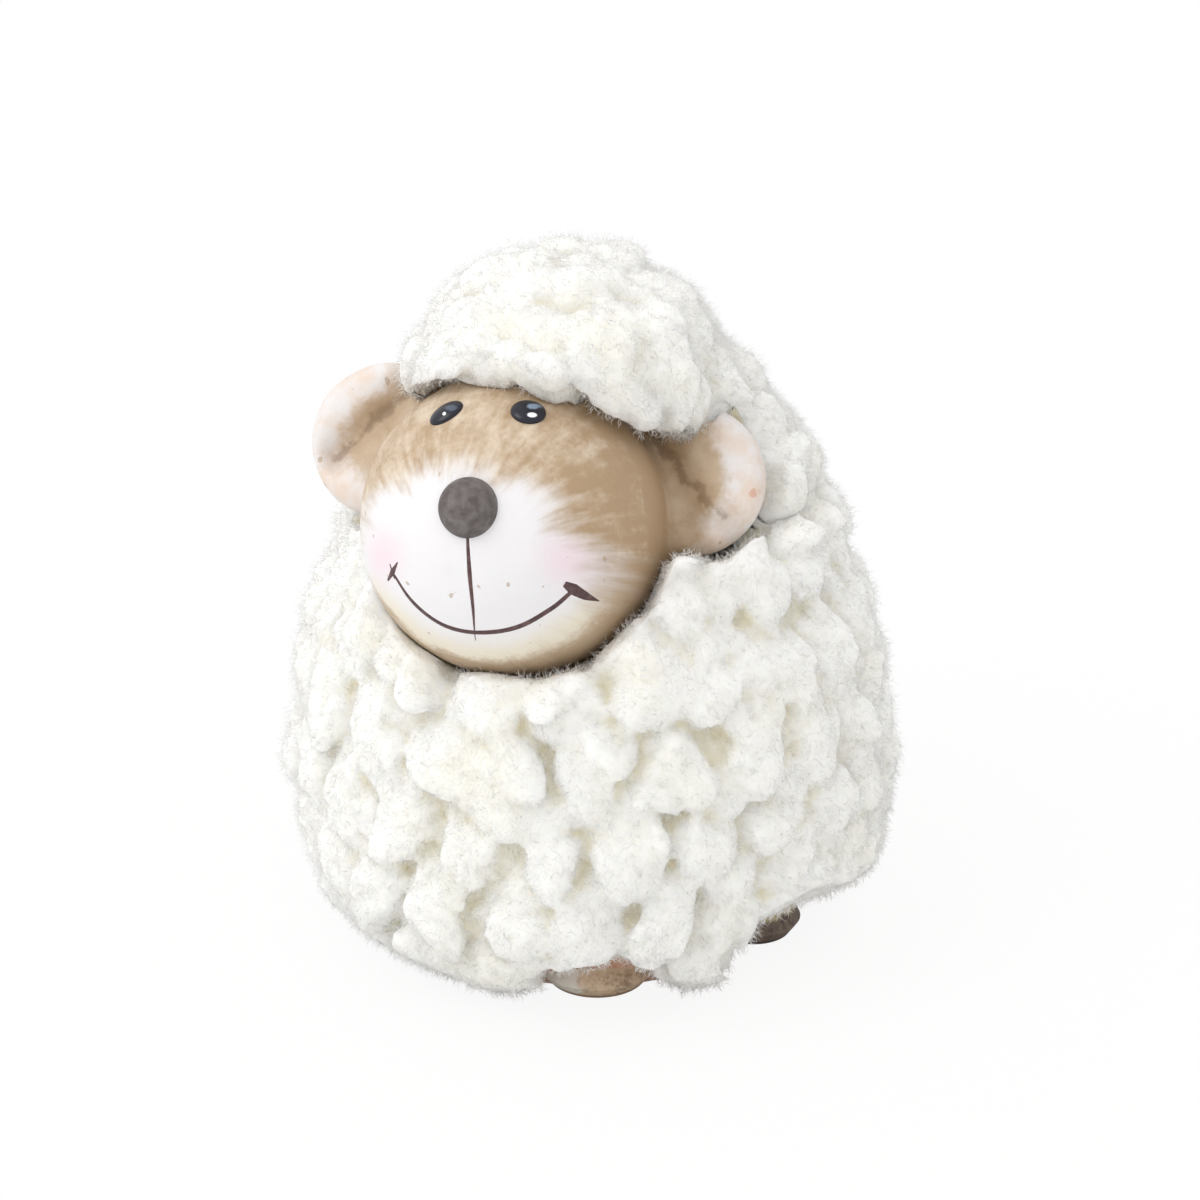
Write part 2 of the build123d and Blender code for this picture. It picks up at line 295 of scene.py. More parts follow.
@dataclass(frozen=True)
class EarForm:
    """One ear: a thick round leaf of clay with a valley pressed into its front.

    The valley, the dark line and where the pale paint starts and is full are measured from
    the ear's middle, in millimetres. The dark line is a crack on the left ear; on the right
    ear it runs down the valley and its dark is painted shade of the crease.
    """

    side: float
    rise: float
    radius: float
    valley: tuple
    crack_and_crease: tuple
    pale_from: tuple
    valley_depth: float = 2.6 * MM
    valley_width: float = 2.6 * MM
    setback: float = 4.5 * MM
    rim: float = 2.5 * MM
    front_bulge: float = 0.6 * MM
    belly: float = 2.2 * MM
    clear_edge: float = 2.0 * MM
    open_share: float = 0.55
    root_share: float = 0.7

    def centre(self) -> np.ndarray:
        """The ear's middle, in the head's axes."""
        return np.array([self.side, self.rise, -self.setback])

    def clearance(self, local: np.ndarray) -> tuple[np.ndarray, np.ndarray]:
        """How far places in the head's axes are outside the ear, and which way leads out."""
        offset = local - self.centre() + np.array([0, 0, self.belly / 2])
        across = np.hypot(offset[:, 0], offset[:, 1])
        flat = self.radius - self.rim
        share = np.minimum(flat / np.maximum(across, TINY), 1)[:, None]
        nearest = offset * np.array([1, 1, 0]) * share
        away = offset - nearest
        thickness = self.rim + self.belly / 2
        return np.linalg.norm(away, axis=1) - thickness, unit(away)


HEAD = HeadForm()
RIGHT_EAR = EarForm(
    side=-22.1 * MM,
    rise=11.8 * MM,
    radius=11.5 * MM,
    valley=((4, 8.5), (0, 3.8), (-7, -2.5)),
    # The right ear's line runs down its valley: its dark is painted shade of the crease
    crack_and_crease=((2.8, 7.2), (0.4, 4.6), (-1.6, 3.3), (-4, 0.3), (-7.4, -3)),
    pale_from=(-3.5, 1.5),
)
LEFT_EAR = EarForm(
    side=23.9 * MM,
    rise=8.1 * MM,
    radius=10.9 * MM,
    valley=((-6, 6), (-2.5, 0.5), (0, -6)),
    crack_and_crease=((-6.5, 6.8), (-3.6, 3.6), (-2.2, 3), (-0.8, -0.2), (1.6, -1), (3.2, -3.4), (6, -5.2)),
    pale_from=(0.5, 5),
)


@dataclass(frozen=True)
class FootForm:
    """The plain form of a foot, an oval lump."""

    node: str

    def clearance(self, places: np.ndarray) -> tuple[np.ndarray, np.ndarray]:
        """How far places are outside the foot, and which way leads out of it."""
        low, high = (np.array(corner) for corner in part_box(self.node))
        middle = (low + high) / 2
        middle[2] = high[2] / 3
        half = (high - low) / 2
        half[2] = high[2] - middle[2]
        offset = (places - middle) / half
        reach = np.linalg.norm(offset, axis=1)
        return (reach - 1) * half.min(), unit(offset / half)


FEET = [FootForm(f"{end}_{side}_foot") for end in ("front", "rear") for side in ("left", "right")]


def keep_clear(places: np.ndarray, gap: float) -> np.ndarray:
    """Moves places that lie in the head, an ear, a foot or the ground just out of it.

    Args:
        places: Points of the wool.
        gap: How far from the clay they end up.

    Returns:
        The moved points.
    """
    moved = places.copy()
    for form in (HEAD, *FEET):
        distance, way = form.clearance(moved)
        moved += way * np.maximum(gap - distance, 0)[:, None]
    for ear in (LEFT_EAR, RIGHT_EAR):
        local = HEAD.inward(moved)
        distance, way = ear.clearance(local)
        local += way * np.maximum(gap - distance, 0)[:, None]
        moved = HEAD.outward(local)
    moved[:, 2] = np.maximum(moved[:, 2], gap)
    return moved


def behind_ears(places: np.ndarray) -> np.ndarray:
    """Moves wool that comes through an ear, or lies low in front of it, to the ear's back."""
    local = HEAD.inward(places)
    for ear in (LEFT_EAR, RIGHT_EAR):
        offset = local - ear.centre()
        covered = np.hypot(offset[:, 0], offset[:, 1]) < ear.radius + ear.clear_edge
        low = offset[:, 1] < ear.radius * ear.open_share
        front = (offset[:, 2] > -ear.rim - ear.belly) & (offset[:, 2] < ear.radius)
        outside = np.abs(local[:, 0]) > HEAD.radius * ear.root_share
        back = ear.centre()[2] - ear.rim - ear.belly
        local[:, 2] = np.where(covered & low & front & outside, back, local[:, 2])
    return HEAD.outward(local)


# Materials


class Flow:
    """A number or a colour that varies over a surface, for sums written in Python."""

    def __init__(self, graph: "Graph", socket: bpy.types.NodeSocket) -> None:
        """Wraps one output of a node."""
        self.graph = graph
        self.socket = socket

    def __add__(self, other: "Flow | float") -> "Flow":
        """This number plus another."""
        return self.graph.sum("ADD", self, other)

    __radd__ = __add__

    def __sub__(self, other: "Flow | float") -> "Flow":
        """This number less another."""
        return self.graph.sum("SUBTRACT", self, other)

    def __mul__(self, other: "Flow | float") -> "Flow":
        """This number times another."""
        return self.graph.sum("MULTIPLY", self, other)

    def __truediv__(self, other: "Flow | float") -> "Flow":
        """This number divided by another."""
        return self.graph.sum("DIVIDE", self, other)

    def __pow__(self, other: "Flow | float") -> "Flow":
        """This number to a power."""
        return self.graph.sum("POWER", self, other)

    def fades(self, start: float, end: float) -> "Flow":
        """0 at start, 1 at end, smooth between; start may be the larger."""
        inputs = {"Value": self, "From Min": start, "From Max": end}
        made = self.graph.node("ShaderNodeMapRange", {"interpolation_type": "SMOOTHSTEP"}, inputs)
        return Flow(self.graph, made.outputs["Result"])


class Graph:
    """A tree of shader nodes under construction."""

    def __init__(self, tree: bpy.types.NodeTree, coordinates: str) -> None:
        """Takes a tree whose patterns are in one kind of coordinates."""
        self.tree = tree
        self.place = Flow(self, self.node("ShaderNodeTexCoord").outputs[coordinates])

    def plug(self, node: bpy.types.Node, inputs: dict) -> None:
        """Gives sockets of a node, by name or number, their values or flows."""
        for name, value in inputs.items():
            if isinstance(value, Flow):
                self.tree.links.new(value.socket, node.inputs[name])
            else:
                node.inputs[name].default_value = value

    def node(self, kind: str, settings: dict | None = None, inputs: dict | None = None) -> bpy.types.Node:
        """Adds a node.

        Args:
            kind: The node's type.
            settings: Its properties, which are set first.
            inputs: Values or flows for its sockets, by name or number.

        Returns:
            The new node.
        """
        made = self.tree.nodes.new(kind)
        for name, value in (settings or {}).items():
            setattr(made, name, value)
        self.plug(made, inputs or {})
        return made

    def sum(self, operation: str, *terms: Flow | float) -> Flow:
        """The result of one Math node."""
        made = self.node("ShaderNodeMath", {"operation": operation}, dict(enumerate(terms)))
        return Flow(self, made.outputs[0])

    def vector_sum(self, operation: str, output: str, *terms: Flow | tuple) -> Flow:
        """One output of a Vector Math node."""
        made = self.node("ShaderNodeVectorMath", {"operation": operation}, dict(enumerate(terms)))
        return Flow(self, made.outputs[output])

    def measure(self, place: Flow, way: tuple) -> Flow:
        """How far a place is along a direction."""
        return self.vector_sum("DOT_PRODUCT", "Value", place, way)

    def camera_ray(self) -> Flow:
        """1 for what the camera sees, 0 for what only lights."""
        return Flow(self, self.node("ShaderNodeLightPath").outputs["Is Camera Ray"])

    def show(self, factor: Flow, shaders: tuple, output: bpy.types.Node) -> None:
        """Shows the first of two shaders where the factor is 0 and the second where it is 1."""
        first, second = (Flow(self, shader.outputs[0]) for shader in shaders)
        made = self.node("ShaderNodeMixShader", None, {0: factor, 1: first, 2: second})
        self.plug(output, {"Surface": Flow(self, made.outputs[0])})


class Recipe(Graph):
    """A material under construction: its nodes and its shader."""

    MIX_INPUTS = (0, 6, 7)
    MIX_OUTPUT = 2

    def __init__(self, name: str) -> None:
        """Starts a material whose patterns are in object coordinates."""
        self.material = bpy.data.materials.new(name)
        self.material.use_nodes = True
        super().__init__(self.material.node_tree, "Object")
        self.shader = self.tree.nodes["Principled BSDF"]

    def blend(self, factor: Flow | float, first: Flow | tuple, second: Flow | tuple) -> Flow:
        """Two colours mixed by a factor."""
        colours = [(*value, 1) if isinstance(value, tuple) else value for value in (first, second)]
        inputs = dict(zip(self.MIX_INPUTS, (factor, *colours)))
        made = self.node("ShaderNodeMix", {"data_type": "RGBA"}, inputs)
        return Flow(self, made.outputs[self.MIX_OUTPUT])

    def grain(
        self, size: float, detail: float = 2, roughness: float = 0.5, place: Flow | None = None
    ) -> Flow:
        """Noise with lumps of one size, from about 0.2 to 0.8."""
        inputs = {"Vector": place or self.place, "Scale": 1 / size, "Detail": detail, "Roughness": roughness}
        return Flow(self, self.node("ShaderNodeTexNoise", None, inputs).outputs["Fac"])

    def vector(self, x: Flow | float, y: Flow | float, z: Flow | float = 0) -> Flow:
        """A vector from three numbers."""
        made = self.node("ShaderNodeCombineXYZ", None, {"X": x, "Y": y, "Z": z})
        return Flow(self, made.outputs[0])

    def head_place(self) -> tuple[Flow, ...]:
        """Side, rise and ahead of the shaded point, in millimetres."""
        offset = self.vector_sum("SUBTRACT", "Vector", self.place, HEAD.centre)
        return tuple(self.measure(offset, tuple(axis / MM)) for axis in HEAD.axes())

    def attribute(self, name: str) -> Flow:
        """A number that the piece's points carry."""
        made = self.node("ShaderNodeAttribute", {"attribute_name": name})
        return Flow(self, made.outputs["Fac"])

    def feed(self, values: dict) -> None:
        """Sets or links the shader's sockets, by name."""
        self.plug(self.shader, values)

    def colour(self, value: Flow | tuple) -> None:
        """Gives the shader its colour."""
        self.feed({"Base Color": (*value, 1) if isinstance(value, tuple) else value})

    def raised(self, height: Flow, distance: float, strength: float) -> None:
        """Gives the surface fine relief.

        Args:
            height: The relief, about 0 to 1.
            distance: How high 1 stands.
            strength: How much of the relief is used.
        """
        inputs = {"Height": height, "Distance": distance, "Strength": strength}
        made = self.node("ShaderNodeBump", None, inputs)
        self.feed({"Normal": Flow(self, made.outputs["Normal"])})


def dress(piece: bpy.types.Object, material: bpy.types.Material) -> None:
    """Gives a piece one material."""
    piece.data.materials.clear()
    piece.data.materials.append(material)


def dress_node(node: str, material: bpy.types.Material) -> None:
    """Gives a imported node's object a material, and leaves its mesh alone."""
    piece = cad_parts[node]
    if not piece.material_slots:
        piece.data.materials.append(material)
    for slot in piece.material_slots:
        slot.link = "OBJECT"
        slot.material = material


@dataclass(frozen=True)
class WoolFinish:
    """Looped white yarn, cream where it lies deep: the cream is painted shade in the hollows between the
    tufts.
    """

    white: tuple = (0.93, 0.92, 0.89)
    # cream is painted shade: the colour the wool takes at depth deep and below, in the hollows
    cream: tuple = (0.86, 0.82, 0.67)
    warm: tuple = (0.92, 0.895, 0.81)
    warm_share: float = 0.6
    patch_size: float = 14 * MM
    fluff_size: float = 0.6 * MM
    fluff_height: float = 0.15 * MM
    deep: float = 1.6 * MM
    seen_through: float = 5 * MM

    def make(self) -> bpy.types.Material:
        """Builds the material."""
        recipe = Recipe("looped_wool")
        patches = recipe.grain(self.patch_size, detail=1)
        fluff = recipe.grain(self.fluff_size)
        tone = recipe.blend(patches.fades(0.45, 0.7) * self.warm_share, self.white, self.warm)
        depth = recipe.attribute("hollow") + (fluff - 0.5) * self.fluff_height
        # Painted shade: the deeper a point lies in a hollow, the more cream it is
        recipe.colour(recipe.blend(depth.fades(0, self.deep), tone, self.cream))
        recipe.feed({
            "Roughness": 0.95,
            "Specular IOR Level": 0.15,
            "Sheen Weight": 0.25,
            "Sheen Roughness": 0.6,
            "Subsurface Weight": 1.0,
            "Subsurface Radius": (1.0, 0.95, 0.85),
            "Subsurface Scale": self.seen_through,
        })
        recipe.raised(fluff, self.fluff_height, 0.4)
        return recipe.material


@dataclass(frozen=True)
class FibreFinish:
    """The loose fibres of the yarn, each too fine to show a pattern."""

    name: str
    tone: tuple
    seen_through: float = 0.5 * MM

    def make(self) -> bpy.types.Material:
        """Builds the material."""
        recipe = Recipe(self.name)
        recipe.colour(self.tone)
        recipe.feed({
            "Roughness": 0.9,
            "Specular IOR Level": 0.1,
            "Sheen Weight": 0.2,
            "Subsurface Weight": 1.0,
            "Subsurface Radius": (1.0, 1.0, 0.95),
            "Subsurface Scale": self.seen_through,
        })
        return recipe.material


@dataclass(frozen=True)
class HeadSkin:
    """What the head's paint goes by: where a point is, in millimetres, and the noise there."""

    side: Flow
    rise: Flow
    ahead: Flow
    mottle: Flow
    fine: Flow

    def spot(self, centre: tuple, radius: float) -> Flow:
        """A soft round spot."""
        distance = ((self.side - centre[0]) ** 2 + (self.rise - centre[1]) ** 2) ** 0.5
        return distance.fades(radius, 0)

    def oval(self, centre: tuple, radii: tuple) -> Flow:
        """How far out a point is, as a share of the way to the edge of an oval."""
        return (((self.side - centre[0]) / radii[0]) ** 2 + ((self.rise - centre[1]) / radii[1]) ** 2) ** 0.5


@dataclass(frozen=True)
class PaintedClayFinish:
    """The head: a brown wash brushed over clay, a white muzzle, pink cheeks and pale ear rims."""

    pale_wash: tuple = (0.69, 0.58, 0.45)
    brown_wash: tuple = (0.42, 0.29, 0.175)
    # deep_wash is painted shade low round the back of the face and in the right ear's crease, and the dark
    # of the left ear's crack
    deep_wash: tuple = (0.15, 0.085, 0.045)
    white: tuple = (0.81, 0.80, 0.82)
    cream: tuple = (0.80, 0.74, 0.62)
    rim: tuple = (0.78, 0.67, 0.60)
    pink: tuple = (0.86, 0.56, 0.66)
    terracotta: tuple = (0.62, 0.24, 0.12)
    muzzle_centre: tuple = (-3.0, -8.2)
    muzzle_radii: tuple = (19.6, 13.6)
    muzzle_fade: tuple = (1.22, 0.78)
    streaks_round: float = 13
    cheeks: tuple = ((12.9, -5.6), (-13.8, -6.3))
    cheek_radius: float = 6.0
    chip: tuple = (33.6, 6.6)
    chip_radius: float = 1.6
    brown_to_left: tuple = (2, 20)
    brown_to_back: tuple = (14, 2)
    # Where the painted shade low round the back of the face starts and is full, ahead and up
    painted_gap_shade_ahead: tuple = (3.5, -3)
    painted_gap_shade_below: tuple = (4, -8)
    chin_below: tuple = (-7, -14)
    chin_cream: tuple = (16, 19.5)
    chin_brown: tuple = (19.4, 20.6)
    # Where the dark along the ears' lines starts and is full; on the right ear it is painted shade of the
    # crease
    crack_and_crease_brown: tuple = (3.5, 0.8)
    crack_and_crease_deep: tuple = (1, 0)
    mottle_size: float = 5 * MM
    fine_size: float = 0.8 * MM
    speck_size: float = 1.3 * MM
    relief: float = 0.18 * MM

    def make(self) -> bpy.types.Material:
        """Builds the material."""
        recipe = Recipe("painted_clay")
        mottle = recipe.grain(self.mottle_size, detail=4, roughness=0.6)
        fine = recipe.grain(self.fine_size, detail=3, roughness=0.6)
        skin = HeadSkin(*recipe.head_place(), mottle, fine)
        muzzle, streaks = self.muzzle(recipe, skin)
        paint = recipe.blend(muzzle, self.wash(recipe, skin, streaks), self.muzzle_paint(recipe, skin))
        specks = recipe.grain(self.speck_size, detail=0).fades(0.81, 0.85)
        recipe.colour(recipe.blend(specks * 0.6, paint, self.brown_wash))
        recipe.feed({"Roughness": fine * 0.25 + 0.45, "Specular IOR Level": 0.4})
        relief = fine * 0.5 + streaks * 0.35 + mottle * 0.5 - specks * 0.4
        recipe.raised(relief, self.relief, 0.7)
        return recipe.material

    def muzzle(self, recipe: Recipe, skin: HeadSkin) -> tuple[Flow, Flow]:
        """Where the muzzle is white, with edges drawn out by the brush.

        Args:
            recipe: The material.
            skin: The point that is painted.

        Returns:
            The mask and the brush marks, which run out from the muzzle.
        """
        across = skin.side - self.muzzle_centre[0]
        up = skin.rise - self.muzzle_centre[1]
        reach = skin.oval(self.muzzle_centre, self.muzzle_radii)
        angle = recipe.sum("ARCTAN2", up, across)
        marks = recipe.vector(angle * self.streaks_round, reach * 2.6)
        streaks = recipe.grain(1, detail=3, roughness=0.6, place=marks)
        broad = recipe.grain(1, detail=1, place=recipe.vector(angle * 3.5, reach * 1.5, 7))
        edge = reach + (streaks - 0.5) * 0.34 + (broad - 0.5) * 0.36
        return edge.fades(*self.muzzle_fade) * skin.ahead.fades(-1, 2), streaks

    def muzzle_paint(self, recipe: Recipe, skin: HeadSkin) -> Flow:
        """The white of the muzzle, cream and brown round the chin and pink on the cheeks."""
        out = (skin.side**2 + skin.rise**2) ** 0.5 + (skin.mottle - 0.5) * 2
        low = skin.rise.fades(*self.chin_below)
        paint = recipe.blend(out.fades(*self.chin_cream) * low, self.white, self.cream)
        edge = (out + skin.fine - 0.5).fades(*self.chin_brown) * low
        paint = recipe.blend(edge * 0.8, paint, self.brown_wash)
        for centre in self.cheeks:
            paint = recipe.blend(skin.spot(centre, self.cheek_radius) * 0.4, paint, self.pink)
        return paint

    def wash(self, recipe: Recipe, skin: HeadSkin, streaks: Flow) -> Flow:
        """The wash on the rest of the head.

        Args:
            recipe: The material.
            skin: The point that is painted.
            streaks: The brush marks.

        Returns:
            The colour, browner to the left and the back, with painted shade low round the back of the face,
            the ears and a chip in the left one's rim.
        """
        noise = (skin.mottle - 0.5) * 1.5 + (streaks - 0.5) * 1.1 + (skin.fine - 0.5) * 0.5
        drift = skin.side.fades(*self.brown_to_left) * 0.4 + skin.ahead.fades(*self.brown_to_back) * 0.3
        wash = recipe.blend((noise + drift + 0.5).fades(0, 1), self.pale_wash, self.brown_wash)
        # Painted shade in the gap between the low back of the face and the wool
        wash = recipe.blend(self.painted_gap_shade(skin), wash, self.deep_wash)
        for ear in (RIGHT_EAR, LEFT_EAR):
            wash = self.ear(recipe, skin, ear, wash)
        wash = self.crack_and_creases(recipe, skin, wash)
        chip = skin.spot(self.chip, self.chip_radius) + (skin.fine - 0.5) * 1.6 + (skin.mottle - 0.5) * 1.2
        return recipe.blend(chip.fades(0.4, 0.7) * 0.5, wash, self.terracotta)

    def painted_gap_shade(self, skin: HeadSkin) -> Flow:
        """Painted shade: where the wash is darkened low round the back of the face, at the gap to the wool.
        """
        back = (skin.ahead + (skin.mottle - 0.5) * 6).fades(*self.painted_gap_shade_ahead)
        return back * skin.rise.fades(*self.painted_gap_shade_below) * 0.6

    def ear(self, recipe: Recipe, skin: HeadSkin, ear: EarForm, wash: Flow) -> Flow:
        """Paints one ear, paler inside and palest on its rim.

        Args:
            recipe: The material.
            skin: The point that is painted.
            ear: The ear's form.
            wash: The colour so far.

        Returns:
            The colour with the ear painted.
        """
        across = (skin.side - ear.side / MM) * math.copysign(1, ear.side)
        up = skin.rise - ear.rise / MM
        reach = (across**2 + up**2) ** 0.5 / (ear.radius / MM)
        outer = (across + (skin.mottle - 0.5) * 5).fades(*ear.pale_from)
        rim = (reach + (skin.mottle - 0.5) * 0.35 + (skin.fine - 0.5) * 0.15).fades(0.42, 0.66) * outer
        pale = recipe.blend(skin.mottle.fades(0.35, 0.65), self.rim, self.white)
        inside = reach.fades(1.1, 0.6) * skin.ahead.fades(0, -2)
        wash = recipe.blend(inside * skin.mottle.fades(0.25, 0.6) * 0.5, wash, self.pale_wash)
        return recipe.blend(rim * 0.85, wash, pale)

    def crack_and_creases(self, recipe: Recipe, skin: HeadSkin, wash: Flow) -> Flow:
        """Darkens the wash along the ears' dark lines and beside them: a crack on the left ear, and on the
        right ear painted shade of the crease down its valley.
        """
        crack_and_crease = recipe.attribute("crack_and_crease") / MM + (skin.fine - 0.5) * 1.6 + (skin.mottle - 0.5) * 3
        behind = skin.ahead.fades(1, -1)
        wash = recipe.blend(crack_and_crease.fades(*self.crack_and_crease_brown) * behind * 0.4, wash, self.brown_wash)
        return recipe.blend(crack_and_crease.fades(*self.crack_and_crease_deep) * behind * 0.5, wash, self.deep_wash)


@dataclass(frozen=True)
class NoseFinish:
    """Dark brown paint with a soft bloom."""

    dark: tuple = (0.085, 0.068, 0.066)
    bloom: tuple = (0.17, 0.15, 0.148)
    cloud_size: float = 2.2 * MM
    fine_size: float = 0.35 * MM
    relief: float = 0.08 * MM

    def make(self) -> bpy.types.Material:
        """Builds the material."""
        recipe = Recipe("nose_paint")
        cloud = recipe.grain(self.cloud_size, detail=4, roughness=0.6)
        fine = recipe.grain(self.fine_size)
        recipe.colour(recipe.blend(cloud.fades(0.35, 0.7), self.dark, self.bloom))
        recipe.feed({"Roughness": fine * 0.2 + 0.5})
        recipe.raised(fine + cloud, self.relief, 0.6)
        return recipe.material


@dataclass(frozen=True)
class EyeFinish:
    """Black enamel with a white dot touched in and a blue crescent painted in as a reflection, their places
    in millimetres.
    """

    name: str
    dot: tuple
    dot_radii: tuple
    painted_reflection: tuple
    painted_reflection_share: float
    painted_reflection_radii: tuple = (1.1, 0.55)
    cloud_size: float = 1.0 * MM
    enamel: tuple = (0.008, 0.009, 0.018)
    white: tuple = (0.85, 0.87, 0.9)
    reflection_blue: tuple = (0.28, 0.36, 0.5)

    def make(self) -> bpy.types.Material:
        """Builds the material."""
        recipe = Recipe(self.name)
        cloud = recipe.grain(self.cloud_size)
        skin = HeadSkin(*recipe.head_place(), cloud, cloud)
        # Painted reflection: a blue crescent on the enamel, where the eye would mirror the light
        painted_reflection = skin.oval(self.painted_reflection, self.painted_reflection_radii) + (cloud - 0.5) * 0.8
        paint = recipe.blend(painted_reflection.fades(1.0, 0.5) * self.painted_reflection_share, self.enamel, self.reflection_blue)
        dot = skin.oval(self.dot, self.dot_radii).fades(1.15, 0.8)
        recipe.colour(recipe.blend(dot, paint, self.white))
        recipe.feed({
            "Roughness": 0.3,
            "Specular IOR Level": 0.3,
            "Coat Weight": 0.25,
            "Coat Roughness": 0.08,
        })
        return recipe.material


@dataclass(frozen=True)
class FootFinish:
    """Brown wash over white slip, rubbed through on the side that faces one way, and darkened along the sole
    as painted shade where it meets the floor.
    """

    name: str
    brown: tuple
    dark: tuple
    top: tuple
    rubbed_to: float
    rubbed_way: tuple = (0.857, 0.515, 0.0)
    rubbed_edge: float = 0.7 * MM
    slip: tuple = (0.80, 0.77, 0.70)
    cloud_size: float = 3.2 * MM
    fine_size: float = 0.6 * MM
    blot_size: float = 3 * MM
    blot_spread: float = 6 * MM
    top_from: tuple = (3.6 * MM, 4.6 * MM)
    sole_shade_from: tuple = (1.0 * MM, 0.4 * MM)
    relief: float = 0.25 * MM

    def make(self) -> bpy.types.Material:
        """Builds the material."""
        recipe = Recipe(self.name)
        cloud = recipe.grain(self.cloud_size, detail=4, roughness=0.6)
        fine = recipe.grain(self.fine_size, detail=3)
        blot = (recipe.grain(self.blot_size, detail=3, roughness=0.65) - 0.5) * self.blot_spread
        height = recipe.measure(recipe.place, (0, 0, 1))
        worn = recipe.measure(recipe.place, self.rubbed_way) + blot
        paint = recipe.blend((cloud * 0.6 + fine * 0.4).fades(0.38, 0.6), self.dark, self.brown)
        paint = recipe.blend((height + blot * 0.4).fades(*self.top_from), paint, self.top)
        rubbed = worn.fades(self.rubbed_to + self.rubbed_edge, self.rubbed_to - self.rubbed_edge)
        paint = recipe.blend(rubbed, paint, self.slip)
        # Painted shade: the foot turns dark at its sole, where it meets the floor
        recipe.colour(recipe.blend(height.fades(*self.sole_shade_from), paint, self.dark))
        recipe.feed({"Roughness": fine * 0.2 + 0.6})
        recipe.raised(cloud + fine * 0.5, self.relief, 0.8)
        return recipe.material


@dataclass(frozen=True)
class BareClayFinish:
    """Fired clay as it came from the kiln, with grog and a pale bloom."""

    clay: tuple = (0.50, 0.25, 0.15)
    bloom: tuple = (0.66, 0.45, 0.34)
    grog: tuple = (0.30, 0.15, 0.10)
    cloud_size: float = 9 * MM
    grit_size: float = 0.7 * MM
    relief: float = 0.2 * MM

    def make(self) -> bpy.types.Material:
        """Builds the material."""
        recipe = Recipe("bare_clay")
        cloud = recipe.grain(self.cloud_size, detail=4, roughness=0.6)
        grit = recipe.grain(self.grit_size)
        body = recipe.blend(cloud.fades(0.4, 0.7), self.clay, self.bloom)
        recipe.colour(recipe.blend(grit.fades(0.66, 0.74), body, self.grog))
        recipe.feed({"Roughness": 0.85})
        recipe.raised(grit + cloud, self.relief, 0.8)
        return recipe.material


@dataclass(frozen=True)
class BrushFinish:
    """The dark plum-brown paint of the mouth."""

    dark: tuple = (0.065, 0.028, 0.03)
    thin: tuple = (0.12, 0.06, 0.06)
    streak_size: float = 0.9 * MM

    def make(self) -> bpy.types.Material:
        """Builds the material."""
        recipe = Recipe("mouth_paint")
        streak = recipe.grain(self.streak_size, detail=3)
        recipe.colour(recipe.blend(streak.fades(0.4, 0.7), self.dark, self.thin))
        recipe.feed({"Roughness": 0.45})
        return recipe.material


# Sub-assemblies


@dataclass(frozen=True)
class BrushStroke:
    """One stroke of the mouth: points along it and its widths there, in millimetres."""

    name: str
    line: tuple
    widths: tuple


MOUTH = (
    BrushStroke(
        "mouth_line",
        ((-0.1, -3.6), (0.15, -8.5), (0.2, -13), (-0.3, -17.2)),
        (0.55, 0.85, 0.6, 0.12),
    ),
    BrushStroke(
        "smile_line",
        (
            (-12.2, -8.9), (-9.2, -12.7), (-4.8, -15.4), (0.4, -16.2),
            (5.8, -15.2), (10.4, -12.4), (13.4, -9.5),
        ),
        (0.5, 0.75, 0.7, 0.7, 0.75, 0.7, 0.6),
    ),
    BrushStroke("smile_right_tick", ((-13.4, -9.8), (-12.3, -8.7), (-11.2, -7.4)), (0.45, 1.2, 0.25)),
    BrushStroke("smile_right_cross", ((-12.7, -7.6), (-12.3, -8.8), (-12.0, -9.6)), (0.2, 0.5, 0.3)),
    BrushStroke(
        "smile_left_wedge",
        ((12.3, -8.9), (13.3, -9.5), (14.6, -10.2), (16.0, -10.7)),
        (1.1, 2.2, 1.6, 0.2),
    ),
)


